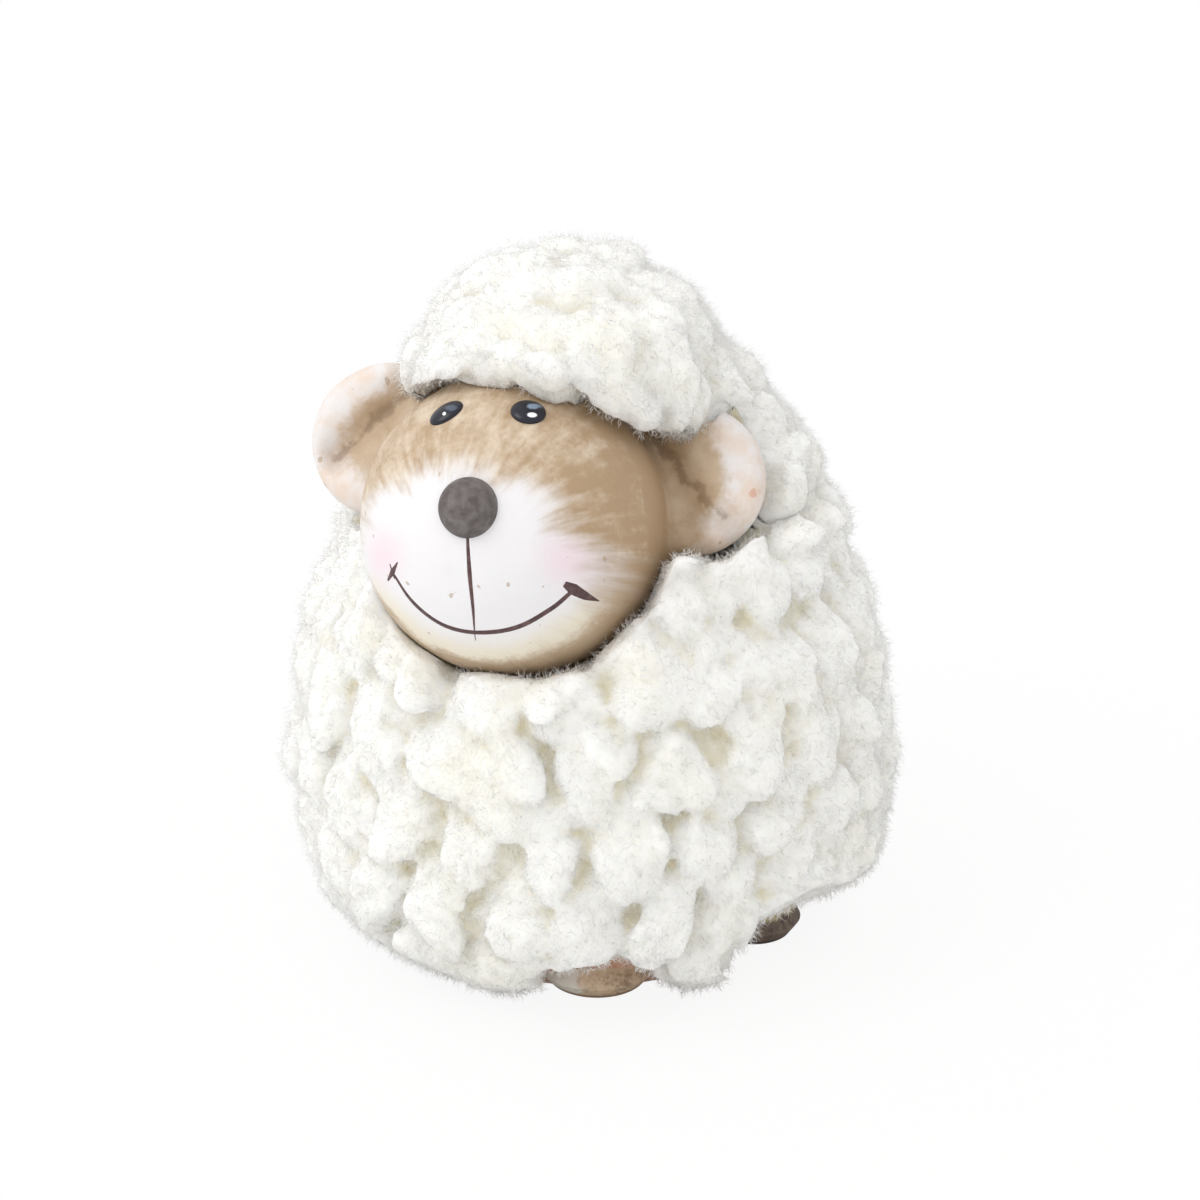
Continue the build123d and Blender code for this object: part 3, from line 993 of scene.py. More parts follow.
@dataclass
class ClayHead:
    """The head and its two ears, one fired piece of clay, with a brushed mouth."""

    voxel: float = 0.42 * MM
    equator: float = 1e-6
    seam_width: float = 6.5 * MM
    seam_rounds: int = 110
    least_weight: float = 0.01
    skin_rounds: int = 4
    dent_size: float = 11 * MM
    dent_depth: float = 0.35 * MM
    trim_gap: float = 0.1 * MM
    trim_slice: float = 0.2 * MM
    trim_digits: int = 4
    stroke_steps: int = 40
    stroke_rows: int = 6
    line_height: float = 0.12 * MM
    line_sink: float = 0.1 * MM
    probe: float = 3 * MM

    def ball(self) -> bpy.types.Object:
        """The head's ball, stretched along the nose."""
        bpy.ops.mesh.primitive_uv_sphere_add(segments=96, ring_count=64, radius=HEAD.radius)
        ball = bpy.context.object
        places = points_of(ball)
        places[:, 2] += np.sign(places[:, 2]) * HEAD.stretch / 2
        move_points(ball, HEAD.outward(places))
        return ball

    def ear(self, form: EarForm) -> bpy.types.Object:
        """A thick round leaf with a rounded rim, a full back and a valley in front."""
        bpy.ops.mesh.primitive_uv_sphere_add(segments=72, ring_count=48, radius=1)
        leaf = bpy.context.object
        ball = points_of(leaf)
        reach = np.hypot(ball[:, 0], ball[:, 1])
        across = ball[:, :2] * form.radius
        start = 1 - form.rim / form.radius
        edge = np.clip((reach - start) / (1 - start), 0, 1)
        half = form.rim * np.sqrt(1 - edge**2)
        valley = line_distance(across, form.valley)
        dip = form.valley_depth * np.exp(-((valley / form.valley_width) ** 2)) * (1 - edge**4)
        front = half + form.front_bulge * (1 - reach**2) - dip
        back = -half - form.belly * (1 - reach**2)
        local = np.column_stack([across, np.where(ball[:, 2] > 0, front, back)])
        local[np.abs(ball[:, 2]) < self.equator, 2] = 0
        move_points(leaf, HEAD.outward(local + form.centre()))
        return leaf

    def blend_seams(self, head: bpy.types.Object) -> None:
        """Rounds the clay where the ears are set on, as a wet finger does."""
        places = points_of(head)
        local = HEAD.inward(places)
        to_head = np.abs(HEAD.clearance(places)[0])
        to_ears = np.minimum(*(np.abs(ear.clearance(local)[0]) for ear in (LEFT_EAR, RIGHT_EAR)))
        weights = fade(np.maximum(to_head, to_ears), self.seam_width, 0)
        group = head.vertex_groups.new(name="seam")
        for index in np.flatnonzero(weights > self.least_weight):
            group.add([int(index)], float(weights[index]), "REPLACE")
        apply_modifier(head, "SMOOTH", factor=0.5, iterations=self.seam_rounds, vertex_group="seam")
        head.vertex_groups.clear()

    def mark_crack_and_creases(self, head: bpy.types.Object) -> None:
        """Keeps, for the paint, how far each point is from the ears' dark lines: the left ear's crack and
        the right ear's crease, whose dark is painted shade.
        """
        local = HEAD.inward(points_of(head))
        ears = (LEFT_EAR, RIGHT_EAR)
        nearest = [line_distance((local - ear.centre())[:, :2], ear.crack_and_crease) for ear in ears]
        store(head, "crack_and_crease", np.minimum(*nearest))

    def trim_to_body(self, head: bpy.types.Object) -> None:
        """Lays the back of the head on the outside of the clay body."""
        body = points_of(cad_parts["body_shell"])
        heights = np.unique(np.round(body[:, 2], self.trim_digits))
        slices = [body[np.abs(body[:, 2] - height) < self.trim_slice] for height in heights]
        widths = [np.hypot(*places[:, :2].T).max() for places in slices]
        places = points_of(head)
        reach = np.hypot(places[:, 0], places[:, 1])
        wall = np.interp(places[:, 2], heights, widths) + self.trim_gap
        share = np.maximum(wall / np.maximum(reach, TINY), 1)
        places[:, :2] *= np.where(reach < wall, share, 1)[:, None]
        move_points(head, places)

    def build_head(self) -> bpy.types.Object:
        """Builds the head with its ears."""
        head = join("head", self.ball(), self.ear(LEFT_EAR), self.ear(RIGHT_EAR))
        apply_modifier(head, "REMESH", mode="VOXEL", voxel_size=self.voxel)
        self.blend_seams(head)
        apply_modifier(head, "SMOOTH", factor=0.5, iterations=self.skin_rounds)
        dents = bpy.data.textures.new("hand_dents", "CLOUDS")
        dents.noise_scale = self.dent_size
        apply_modifier(head, "DISPLACE", texture=dents, strength=self.dent_depth, texture_coords="LOCAL")
        self.trim_to_body(head)
        self.mark_crack_and_creases(head)
        select_only(head)
        bpy.ops.object.shade_smooth()
        return head

    def stroke(self, head: BVHTree, brushed: BrushStroke) -> bpy.types.Object:
        """One stroke of the brush on the skin, slightly proud of it.

        Args:
            head: The head's surface.
            brushed: The stroke.

        Returns:
            The stroke as a closed strip.
        """
        size = {"x_subdivisions": self.stroke_steps, "y_subdivisions": self.stroke_rows}
        bpy.ops.mesh.primitive_grid_add(**size, size=1)
        strip = bpy.context.object
        strip.name = brushed.name
        grid = points_of(strip)
        route = smooth_line(brushed.line, self.stroke_steps + 1) * MM
        share = grid[:, 0] + 0.5
        width = np.interp(share, np.linspace(0, 1, len(brushed.widths)), brushed.widths) * MM
        index = np.rint(share * self.stroke_steps).astype(int)
        heading = unit(np.gradient(route, axis=0))
        middle = route[index]
        square = np.column_stack([-heading[index, 1], heading[index, 0]])
        flat = middle + square * (grid[:, 1] * width)[:, None]
        height = self.line_height * (1 - (2 * grid[:, 1]) ** 2) - self.line_sink / 2
        plain = HEAD.skin(flat[:, 0], flat[:, 1], np.zeros(len(flat)))
        out = HEAD.clearance(plain)[1]
        rays = zip(plain + out * self.probe, -out)
        skin = np.array([head.ray_cast(Vector(start), Vector(way))[0] for start, way in rays])
        move_points(strip, skin + out * height[:, None])
        apply_modifier(strip, "SOLIDIFY", thickness=self.line_sink, offset=-1)
        select_only(strip)
        bpy.ops.object.shade_smooth()
        return strip

    def build_mouth(self, head: bpy.types.Object) -> list[bpy.types.Object]:
        """Builds the strokes of the mouth on the finished head."""
        skin = BVHTree.FromPolygons(points_of(head).tolist(), triangles_of(head).tolist())
        return [self.stroke(skin, brushed) for brushed in MOUTH]

    def dress_features(self) -> None:
        """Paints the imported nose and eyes."""
        # Each eye's blue crescent is a painted reflection, strong on the left eye and faint on the right
        left = EyeFinish(
            "left_eye_enamel",
            dot=(6.3, 13.8),
            dot_radii=(0.62, 0.36),
            painted_reflection=(6.2, 15.1),
            painted_reflection_share=0.8,
        )
        right = EyeFinish(
            "right_eye_enamel",
            dot=(-6.1, 13.4),
            dot_radii=(0.27, 0.27),
            painted_reflection=(-5.4, 14.3),
            painted_reflection_share=0.25,
        )
        dress_node("nose", NoseFinish().make())
        dress_node("left_eye", left.make())
        dress_node("right_eye", right.make())

    def build(self) -> list[bpy.types.Object]:
        """Builds and dresses the head and all that is painted on it.

        Returns:
            The new pieces.
        """
        head = self.build_head()
        dress(head, PaintedClayFinish().make())
        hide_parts("head_shell", "left_ear", "right_ear")
        mouth = self.build_mouth(head)
        brush = BrushFinish().make()
        for strip in mouth:
            dress(strip, brush)
        for piece in (head, *mouth):
            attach(piece, BODY)
        self.dress_features()
        return [head, *mouth]


@dataclass(frozen=True)
class TuftSites:
    """Where the tufts of a fleece grow, which way each lies, how high it stands and its width."""

    places: np.ndarray
    normals: np.ndarray
    way: np.ndarray
    height: np.ndarray
    width: np.ndarray


@dataclass
class Fleece:
    """One fleece: tufts of yarn on a backing, under a coat of loose fibres.

    A tuft is a soft puff with a few fingers of yarn that run down over it from its root.
    finger_curl is in millimetres.
    """

    node: str
    name: str
    seed: int
    fibre_count: int
    candidates: int = 9000
    spacing: float = 6.6 * MM
    height: float = -2.5 * MM
    height_scatter: float = 0.35 * MM
    puff_length: tuple = (10 * MM, 15 * MM)
    puff_width: tuple = (7.5 * MM, 11.5 * MM)
    puff_thickness: tuple = (4.6 * MM, 6.2 * MM)
    puff_curl: float = 0.6 * MM
    fingers: int = 4
    finger_length: tuple = (7.0 * MM, 10.0 * MM)
    finger_width: tuple = (2.6 * MM, 3.6 * MM)
    finger_flatness: float = 0.9
    finger_height: float = 0.9 * MM
    finger_setback: float = 3.0 * MM
    finger_spread: float = 0.42
    finger_scatter: float = 0.12
    finger_fan: float = math.radians(9)
    fan_scatter: float = 0.1
    finger_curl: tuple = (0.6, 1.8)
    tip_taper: float = 0.2
    lean: tuple = (math.radians(8), math.radians(26))
    swirl: float = math.radians(55)
    stray: float = math.radians(16)
    swirl_size: float = 18 * MM
    outward_share: float = 0.6
    level_top: tuple = (0.5, 1)
    near_head: tuple = (9 * MM, 2 * MM)
    clump_size: float = 11 * MM
    clump_height: float = 0.9 * MM
    clump_seed_step: int = 5
    clay_margin: float = 1.1 * MM
    facing_down: float = -0.9
    underside: float = 2 * MM
    backing_inset: float = 1.9 * MM
    backing_voxel: float = 1.1 * MM
    voxel: float = 0.55 * MM
    softening: int = 9
    deepest: float = 0.75 * MM
    fillings: int = 2
    clump_relief: float = 1.5 * MM
    curl_relief: float = 0.42 * MM
    gap: float = 0.25 * MM
    most_triangles: int = 192000
    hollow_rounds: int = 60
    crevice_shade_from: float = 0.25 * MM
    fibre_radius: float = 0.042 * MM
    fibre_length: tuple = (0.9 * MM, 2.2 * MM)
    fibre_rise: float = 0.32
    fibre_flow: float = 0.45
    fibre_lift: float = 1.2
    fibre_bend: float = 0.2
    fibre_sink: float = 0.15 * MM
    fibres_in_piece: int = 32000

    def neighbours(self) -> BVHTree:
        """All that the fleece lies on or against, for measuring distances to."""
        places, faces, start = [], [], 0
        for node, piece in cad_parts.items():
            if node != self.node:
                places.append(points_of(piece))
                faces.append(triangles_of(piece) + start)
                start += len(places[-1])
        return BVHTree.FromPolygons(np.vstack(places).tolist(), np.vstack(faces).tolist())

    def outside(self, places: np.ndarray, normals: np.ndarray) -> np.ndarray:
        """Which places are on the outer side of the fleece, away from clay and seams."""
        tree = self.neighbours()
        room = np.array([tree.find_nearest(Vector(place))[3] for place in places])
        underside = (normals[:, 2] < self.facing_down) & (places[:, 2] < self.underside)
        return (room > self.clay_margin) & ~underside

    def groom(self, places: np.ndarray) -> np.ndarray:
        """Presses the wool into its last shape."""
        return places

    def backing(self) -> bpy.types.Object:
        """The fleece's own form, with its outer side set back to leave room for the tufts."""
        backing = merged_copy(self.node, f"{self.name}_backing")
        apply_modifier(backing, "REMESH", mode="VOXEL", voxel_size=self.backing_voxel)
        places, normals = points_of(backing), normals_of(backing)
        outer = self.outside(places, normals)
        move_points(backing, places - normals * outer[:, None] * self.backing_inset)
        return backing

    def scatter(self, piece: bpy.types.Object, count: int, rng: np.random.Generator) -> tuple:
        """Seeded places all over a piece.

        Args:
            piece: The mesh.
            count: How many places.
            rng: The random numbers.

        Returns:
            The places, the outward directions there and the triangle of each.
        """
        corners = points_of(piece)[triangles_of(piece)]
        cross = np.cross(corners[:, 1] - corners[:, 0], corners[:, 2] - corners[:, 0])
        areas = np.linalg.norm(cross, axis=1)
        chosen = rng.choice(len(corners), count, p=areas / areas.sum())
        first, second = rng.random((2, count))
        over = first + second > 1
        first[over], second[over] = 1 - first[over], 1 - second[over]
        start = corners[chosen, 0]
        places = start + (corners[chosen, 1] - start) * first[:, None]
        places += (corners[chosen, 2] - start) * second[:, None]
        return places, unit(cross[chosen]), chosen

    def spread(self, places: np.ndarray) -> np.ndarray:
        """Picks places that keep their spacing, first come, first served."""
        kept: list = []
        for index, place in enumerate(places):
            if not kept or np.linalg.norm(places[kept] - place, axis=1).min() > self.spacing:
                kept.append(index)
        return np.array(kept)

    def headings(self, places: np.ndarray, normals: np.ndarray, rng: np.random.Generator) -> np.ndarray:
        """The way each tuft lies: down and away from the head, in swirls."""
        down = np.tile([0.0, 0.0, -1.0], (len(places), 1))
        spread = np.column_stack([places[:, :2], np.zeros(len(places))])
        down += self.outward_share * unit(spread) * fade(normals[:, 2:], *self.level_top)
        distance, away = HEAD.clearance(places)
        near = fade(distance, *self.near_head)[:, None]
        way = down * (1 - near) + away * near
        way = unit(way - normals * along(way, normals))
        angle = self.swirl * ripple(places, self.swirl_size, self.seed)
        angle += rng.normal(0, self.stray, len(places))
        square = np.cross(normals, way)
        return way * np.cos(angle)[:, None] + square * np.sin(angle)[:, None]

    def lumps(self, shape: np.ndarray, normals: np.ndarray, spots: tuple) -> np.ndarray:
        """Copies of a ball, each stretched, leaned and bent in its own way.

        Args:
            shape: The points of a ball of radius 1.
            normals: The way out of the fleece at each copy.
            spots: The middle, heading, lean and sizes of each, the sizes being its length,
                width, thickness and curl.

        Returns:
            The points of each copy.
        """
        centre, heading, lean, sizes = spots
        axis = heading * np.cos(lean) + normals * np.sin(lean)
        out = normals * np.cos(lean) - heading * np.sin(lean)
        length, width, thickness, curl = (size[:, None, None] for size in sizes)
        run = shape[None, :, 2:3]
        taper = (1 - self.tip_taper * run) / 2
        points = centre[:, None] + axis[:, None] * run * length / 2
        points += out[:, None] * (shape[None, :, :1] * thickness * taper - curl * run**2)
        return points + np.cross(axis, out)[:, None] * shape[None, :, 1:2] * width * taper

    def roots(self, rng: np.random.Generator) -> tuple[np.ndarray, np.ndarray]:
        """Where the tufts grow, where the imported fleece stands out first, and the ways out there."""
        source = merged_copy(self.node, "scatter_source")
        apply_modifier(source, "REMESH", mode="VOXEL", voxel_size=self.backing_voxel)
        apply_modifier(source, "SMOOTH", factor=0.5, iterations=self.softening)
        places, normals, chosen = self.scatter(source, self.candidates, rng)
        depth = self.hollows(source)[triangles_of(source)[chosen, 0]]
        remove(source)
        keep = self.outside(places, normals)
        order = np.argsort(depth[keep])
        places, normals = places[keep][order], normals[keep][order]
        keep = self.spread(places)
        return self.settle(places[keep]), normals[keep]

    def settle(self, places: np.ndarray) -> np.ndarray:
        """Moves the tufts' roots to where this fleece needs them."""
        return places

    def sites(self, rng: np.random.Generator) -> TuftSites:
        """Where the tufts grow, and how each stands there."""
        places, normals = self.roots(rng)
        count = len(places)
        way = self.headings(places, normals, rng)
        clumps = ripple(places, self.clump_size, self.seed + self.clump_seed_step)
        height = self.height + self.clump_height * clumps
        height += rng.normal(0, self.height_scatter, count)
        return TuftSites(places, normals, way, height, rng.uniform(*self.puff_width, count))

    def puff(self, sites: TuftSites, rng: np.random.Generator) -> tuple:
        """The middle, heading, lean and sizes of the puff of every tuft."""
        count = len(sites.places)
        lean = rng.uniform(*self.lean, count)[:, None]
        length = rng.uniform(*self.puff_length, count)
        thickness = rng.uniform(*self.puff_thickness, count)
        centre = sites.places + sites.normals * sites.height[:, None]
        return centre, sites.way, lean, (length, sites.width, thickness, np.full(count, self.puff_curl))

    def finger(self, number: int, sites: TuftSites, rng: np.random.Generator) -> tuple:
        """One finger of every tuft.

        Args:
            number: Which of the fingers, counted across the tuft.
            sites: Where the tufts are.
            rng: The random numbers.

        Returns:
            The middle, heading, lean and sizes of each.
        """
        count = len(sites.places)
        square = np.cross(sites.normals, sites.way)
        lean = rng.uniform(*self.lean, count)[:, None]
        share = (number + 0.5) / self.fingers * 2 - 1 + rng.normal(0, self.finger_scatter, count)
        length = rng.uniform(*self.finger_length, count)
        width = rng.uniform(*self.finger_width, count)
        centre = sites.places + sites.normals * (sites.height + self.finger_height)[:, None]
        centre = centre + square * (share * sites.width * self.finger_spread)[:, None]
        centre -= sites.way * rng.uniform(0.0, self.finger_setback, count)[:, None]
        fan = (share * self.finger_fan)[:, None] + rng.normal(0, self.fan_scatter, (count, 1))
        heading = sites.way * np.cos(fan) + square * np.sin(fan)
        curl = rng.uniform(*self.finger_curl, count) * MM
        return centre, heading, lean, (length, width, width * self.finger_flatness, curl)

    def tufts(self, rng: np.random.Generator) -> bpy.types.Object:
        """The tufts: one ball, copied as puffs and fingers and bent with the form."""
        bpy.ops.mesh.primitive_uv_sphere_add(segments=12, ring_count=8, radius=1)
        ball = bpy.context.object
        apply_modifier(ball, "TRIANGULATE")
        shape, faces = points_of(ball), triangles_of(ball)
        remove(ball)
        sites = self.sites(rng)
        kinds = [self.puff(sites, rng)]
        kinds += [self.finger(number, sites, rng) for number in range(self.fingers)]
        points = np.concatenate([self.lumps(shape, sites.normals, spots) for spots in kinds])
        every = faces[None] + np.arange(len(points))[:, None, None] * len(shape)
        log.info("%s: %d tufts", self.name, len(sites.places))
        return new_piece(f"{self.name}_tufts", points.reshape(-1, 3), every.reshape(-1, 3))

    def fluff_up(self, wool: bpy.types.Object, grain: Grain, relief: float) -> None:
        """Breaks the smooth tufts up with lumps of one size."""
        pattern = bpy.data.textures.new(f"{self.name}_{grain.name}", "CLOUDS")
        pattern.noise_scale = grain.value
        apply_modifier(wool, "DISPLACE", texture=pattern, strength=relief, texture_coords="LOCAL")

    def hollows(self, wool: bpy.types.Object) -> np.ndarray:
        """How far each point lies below the wool round it."""
        places, normals = points_of(wool), normals_of(wool)
        first, second = read(wool.data.edges, "vertices", 2, np.int32).T
        count = len(places)
        degree = np.bincount(first, minlength=count) + np.bincount(second, minlength=count)
        level = places.copy()
        for _ in range(self.hollow_rounds):
            sums = [
                np.bincount(first, level[second, axis], count)
                + np.bincount(second, level[first, axis], count)
                for axis in range(3)
            ]
            level = (level + np.column_stack(sums) / degree[:, None]) / 2
        return np.sum((level - places) * normals, axis=1)

    def build_wool(self, rng: np.random.Generator) -> bpy.types.Object:
        """Builds the body of the wool from its backing and its tufts."""
        wool = join(self.name, self.backing(), self.tufts(rng))
        apply_modifier(wool, "REMESH", mode="VOXEL", voxel_size=self.voxel)
        apply_modifier(wool, "SMOOTH", factor=0.5, iterations=self.softening)
        for _ in range(self.fillings):
            pits = np.maximum(self.hollows(wool) - self.deepest, 0)[:, None]
            move_points(wool, points_of(wool) + normals_of(wool) * pits)
        self.fluff_up(wool, Grain.CLUMP, self.clump_relief)
        move_points(wool, self.groom(points_of(wool)))
        self.fluff_up(wool, Grain.CURL, self.curl_relief)
        move_points(wool, keep_clear(points_of(wool), self.gap))
        count = len(triangles_of(wool))
        log.info("%s: %d triangles before thinning", self.name, count)
        if count > self.most_triangles:
            apply_modifier(wool, "DECIMATE", ratio=self.most_triangles / count)
        store(wool, "hollow", self.hollows(wool))
        select_only(wool)
        bpy.ops.object.shade_smooth()
        return wool

    def build_fibres(self, wool: bpy.types.Object, finishes: dict, rng: np.random.Generator) -> list:
        """Builds the loose fibres that grow all over the wool.

        Args:
            wool: The finished wool.
            finishes: The materials of the fibres outside and deep in the wool; the deep ones are cream,
                painted shade.
            rng: The random numbers.

        Returns:
            The fibres in pieces of a limited size.
        """
        hollow = read(wool.data.attributes["hollow"].data, "value", 1)
        places, normals, chosen = self.scatter(wool, self.fibre_count, rng)
        depth = hollow[triangles_of(wool)[chosen, 0]]
        outside = self.outside(places, normals)
        # Fibres deep in the hollows take the cream fibre: painted shade
        deep = depth > self.crevice_shade_from
        kinds = {"fuzz": outside & ~deep, "crevice_shade_fuzz": outside & deep}
        pieces = []
        for kind, keep in kinds.items():
            kept = np.flatnonzero(keep)
            batches = np.array_split(kept, math.ceil(len(kept) / self.fibres_in_piece))
            for number, batch in enumerate(batches, 1):
                name = f"{self.name}_{kind}_{number}"
                piece = self.fibre_piece(name, places[batch], normals[batch], rng)
                dress(piece, finishes[kind])
                pieces.append(piece)
        return pieces

    def fibre_piece(
        self, name: str, roots: np.ndarray, normals: np.ndarray, rng: np.random.Generator
    ) -> bpy.types.Object:
        """One piece of fibres, each a thin closed spindle, bent in the middle.

        Args:
            name: The piece's name.
            roots: Where the fibres grow.
            normals: The ways out of the wool there.
            rng: The random numbers.

        Returns:
            The fibres, with their feet in the wool.
        """
        count = len(roots)
        stray = unit(rng.normal(0, 1, (count, 3)))
        flow = self.headings(roots, normals, rng)
        way = unit(normals * self.fibre_rise + flow * self.fibre_flow + stray)
        way = unit(way + normals * np.maximum(-along(way, normals), 0) * self.fibre_lift)
        length = rng.uniform(*self.fibre_length, count)[:, None]
        square = unit(np.cross(way, rng.normal(0, 1, (count, 3))))
        third = np.cross(way, square)
        root = roots - normals * self.fibre_sink
        middle = root + way * length / 2 + square * length * self.fibre_bend
        rings = [root]
        for corner in range(3):
            angle = corner * 2 * math.pi / 3
            aside = square * math.cos(angle) + third * math.sin(angle)
            rings.append(middle + aside * self.fibre_radius)
        rings.append(root + way * length)
        points = keep_clear(np.stack(rings, axis=1).reshape(-1, 3), self.gap / 2)
        faces = np.array([(0, 2, 1), (0, 3, 2), (0, 1, 3), (1, 2, 4), (2, 3, 4), (3, 1, 4)])
        every = (faces[None] + np.arange(count)[:, None, None] * len(rings)).reshape(-1, 3)
        return new_piece(name, points, every)

    def build(self, finishes: dict) -> list[bpy.types.Object]:
        """Builds and dresses the fleece.

        Args:
            finishes: The materials of the wool and of its fibres, by name.

        Returns:
            The wool and its fibres.
        """
        rng = np.random.default_rng(self.seed)
        wool = self.build_wool(rng)
        dress(wool, finishes["wool"])
        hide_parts(self.node)
        pieces = [wool, *self.build_fibres(wool, finishes, rng)]
        for piece in pieces:
            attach(piece, BODY)
        return pieces


@dataclass(frozen=True)
class Arch:
    """A rise of the hem over a foot, higher and wider at its mouth; its bearing is in degrees."""

    bearing: float
    rise: float
    flare: float
    half_width: float


@dataclass
class BodyFleece(Fleece):
    """The wrap round the body, drawn in at the hem, lifted off the feet and parted for the face.

    hem_widths gives the hem's reach at each height. hem_line gives its height and its
    outward slope at each bearing from the sheep's front, in degrees to its left.
    """

    hem_widths: tuple = ((0, 30.5), (2, 33), (5, 38), (9, 42.5), (16, 46.5))
    hem_line: tuple = (
        (-180, 2, 0), (-60, 2, 0), (-25, 1, 0), (-12, 3.6, 0), (4, 3.2, 0), (12, 1.2, 0),
        (19, 4, 0), (45, 4, 0), (52, 2.4, 0), (59, 4.5, 0), (62, 6, 0), (64, 12, 0.55),
        (75, 12.5, 0.6), (85, 12, 0.55), (95, 10.5, 0.35), (109, 6, 0.3), (121, 5, 0.25),
        (140, 3.5, 0.1), (180, 2, 0),
    )
    hem_give: float = 0.18
    hem_middle: float = 33 * MM
    arches: tuple = (Arch(33, 9 * MM, 0.22, 6.5 * MM), Arch(-105, 9 * MM, 0.14, 10 * MM))
    arch_start: float = 24 * MM
    arch_give: float = 0.15
    face_flare: float = 0.05
    face_side_flare: float = 0.34
    face_side_gap: float = 0.8 * MM
    face_give: float = 0.25
    collar: tuple = ((14, -6), (20, -4.5), (31, -4.5), (36, 3), (42, 30))
    collar_front: float = -3 * MM

    def groom(self, places: np.ndarray) -> np.ndarray:
        """Raises and draws in the hem, lifts it off the feet and parts the wool for the face."""
        places = self.draw_in_hem(self.raise_hem(places))
        return behind_ears(self.lower_collar(self.part_for_face(self.lift_off_feet(places))))

    def raise_hem(self, places: np.ndarray) -> np.ndarray:
        """Lifts the lowest wool to a hem that rises and falls round the sheep, and outwards too."""
        places = places.copy()
        bearing = np.degrees(np.arctan2(places[:, 0], -places[:, 1]))
        bearings, heights, slopes = np.array(self.hem_line).T
        past = np.maximum(np.hypot(places[:, 0], places[:, 1]) - self.hem_middle, 0)
        lift = np.interp(bearing, bearings, heights * MM) + np.interp(bearing, bearings, slopes) * past
        short = np.maximum(lift - places[:, 2], 0)
        places[:, 2] += short * (1 - self.hem_give)
        return places

    def draw_in_hem(self, places: np.ndarray) -> np.ndarray:
        """Draws the lowest wool in towards the feet."""
        places = places.copy()
        reach = np.hypot(places[:, 0], places[:, 1])
        heights, widths = np.array(self.hem_widths).T * MM
        most = np.interp(places[:, 2], heights, widths)
        drawn = np.minimum(reach, most + (reach - most) * self.hem_give)
        low = places[:, 2] < heights[-1]
        places[:, :2] *= np.where(low, drawn / np.maximum(reach, TINY), 1)[:, None]
        return places

    def lift_off_feet(self, places: np.ndarray) -> np.ndarray:
        """Brushes the hem up into an arch over each foot that shows, higher at its mouth."""
        places = places.copy()
        for arch in self.arches:
            angle = math.radians(arch.bearing)
            outward = np.array([math.sin(angle), -math.cos(angle)])
            forward = places[:, :2] @ outward
            beside = places[:, :2] @ np.array([-outward[1], outward[0]])
            mouth = np.maximum(forward - self.arch_start, 0) * arch.flare
            share = beside / (arch.half_width + mouth)
            edge = (arch.rise + mouth) * np.sqrt(np.maximum(1 - share**2, 0))
            under = (forward > 0) & (places[:, 2] < edge)
            lifted = edge + (places[:, 2] - edge) * self.arch_give
            places[:, 2] = np.where(under, lifted, places[:, 2])
        return places

    def lower_collar(self, places: np.ndarray) -> np.ndarray:
        """Presses down the wool in front of the left ear, which stands free of it."""
        local = HEAD.inward(places)
        sides, rises = np.array(self.collar).T * MM
        over = np.maximum(local[:, 1] - np.interp(local[:, 0], sides, rises), 0)
        beside = (local[:, 0] > sides[0]) & (local[:, 2] > self.collar_front)
        local[:, 1] -= np.where(beside, over, 0) * (1 - self.face_give)
        return HEAD.outward(local)

    def part_for_face(self, places: np.ndarray) -> np.ndarray:
        """Pushes the wool out of the space in front of the face, further to the sheep's left."""
        local = HEAD.inward(places)
        reach = np.hypot(local[:, 0], local[:, 1])
        leftness = np.maximum(local[:, 0] / np.maximum(reach, TINY), 0)
        flare = self.face_flare + self.face_side_flare * leftness
        ahead = np.maximum(local[:, 2], 0)
        edge = HEAD.radius + self.gap + self.face_side_gap * leftness + ahead * flare
        inside = (reach < edge) & (local[:, 2] > 0)
        pushed = edge + (reach - edge) * self.face_give
        local[:, :2] *= np.where(inside, pushed / np.maximum(reach, TINY), 1)[:, None]
        return HEAD.outward(local)


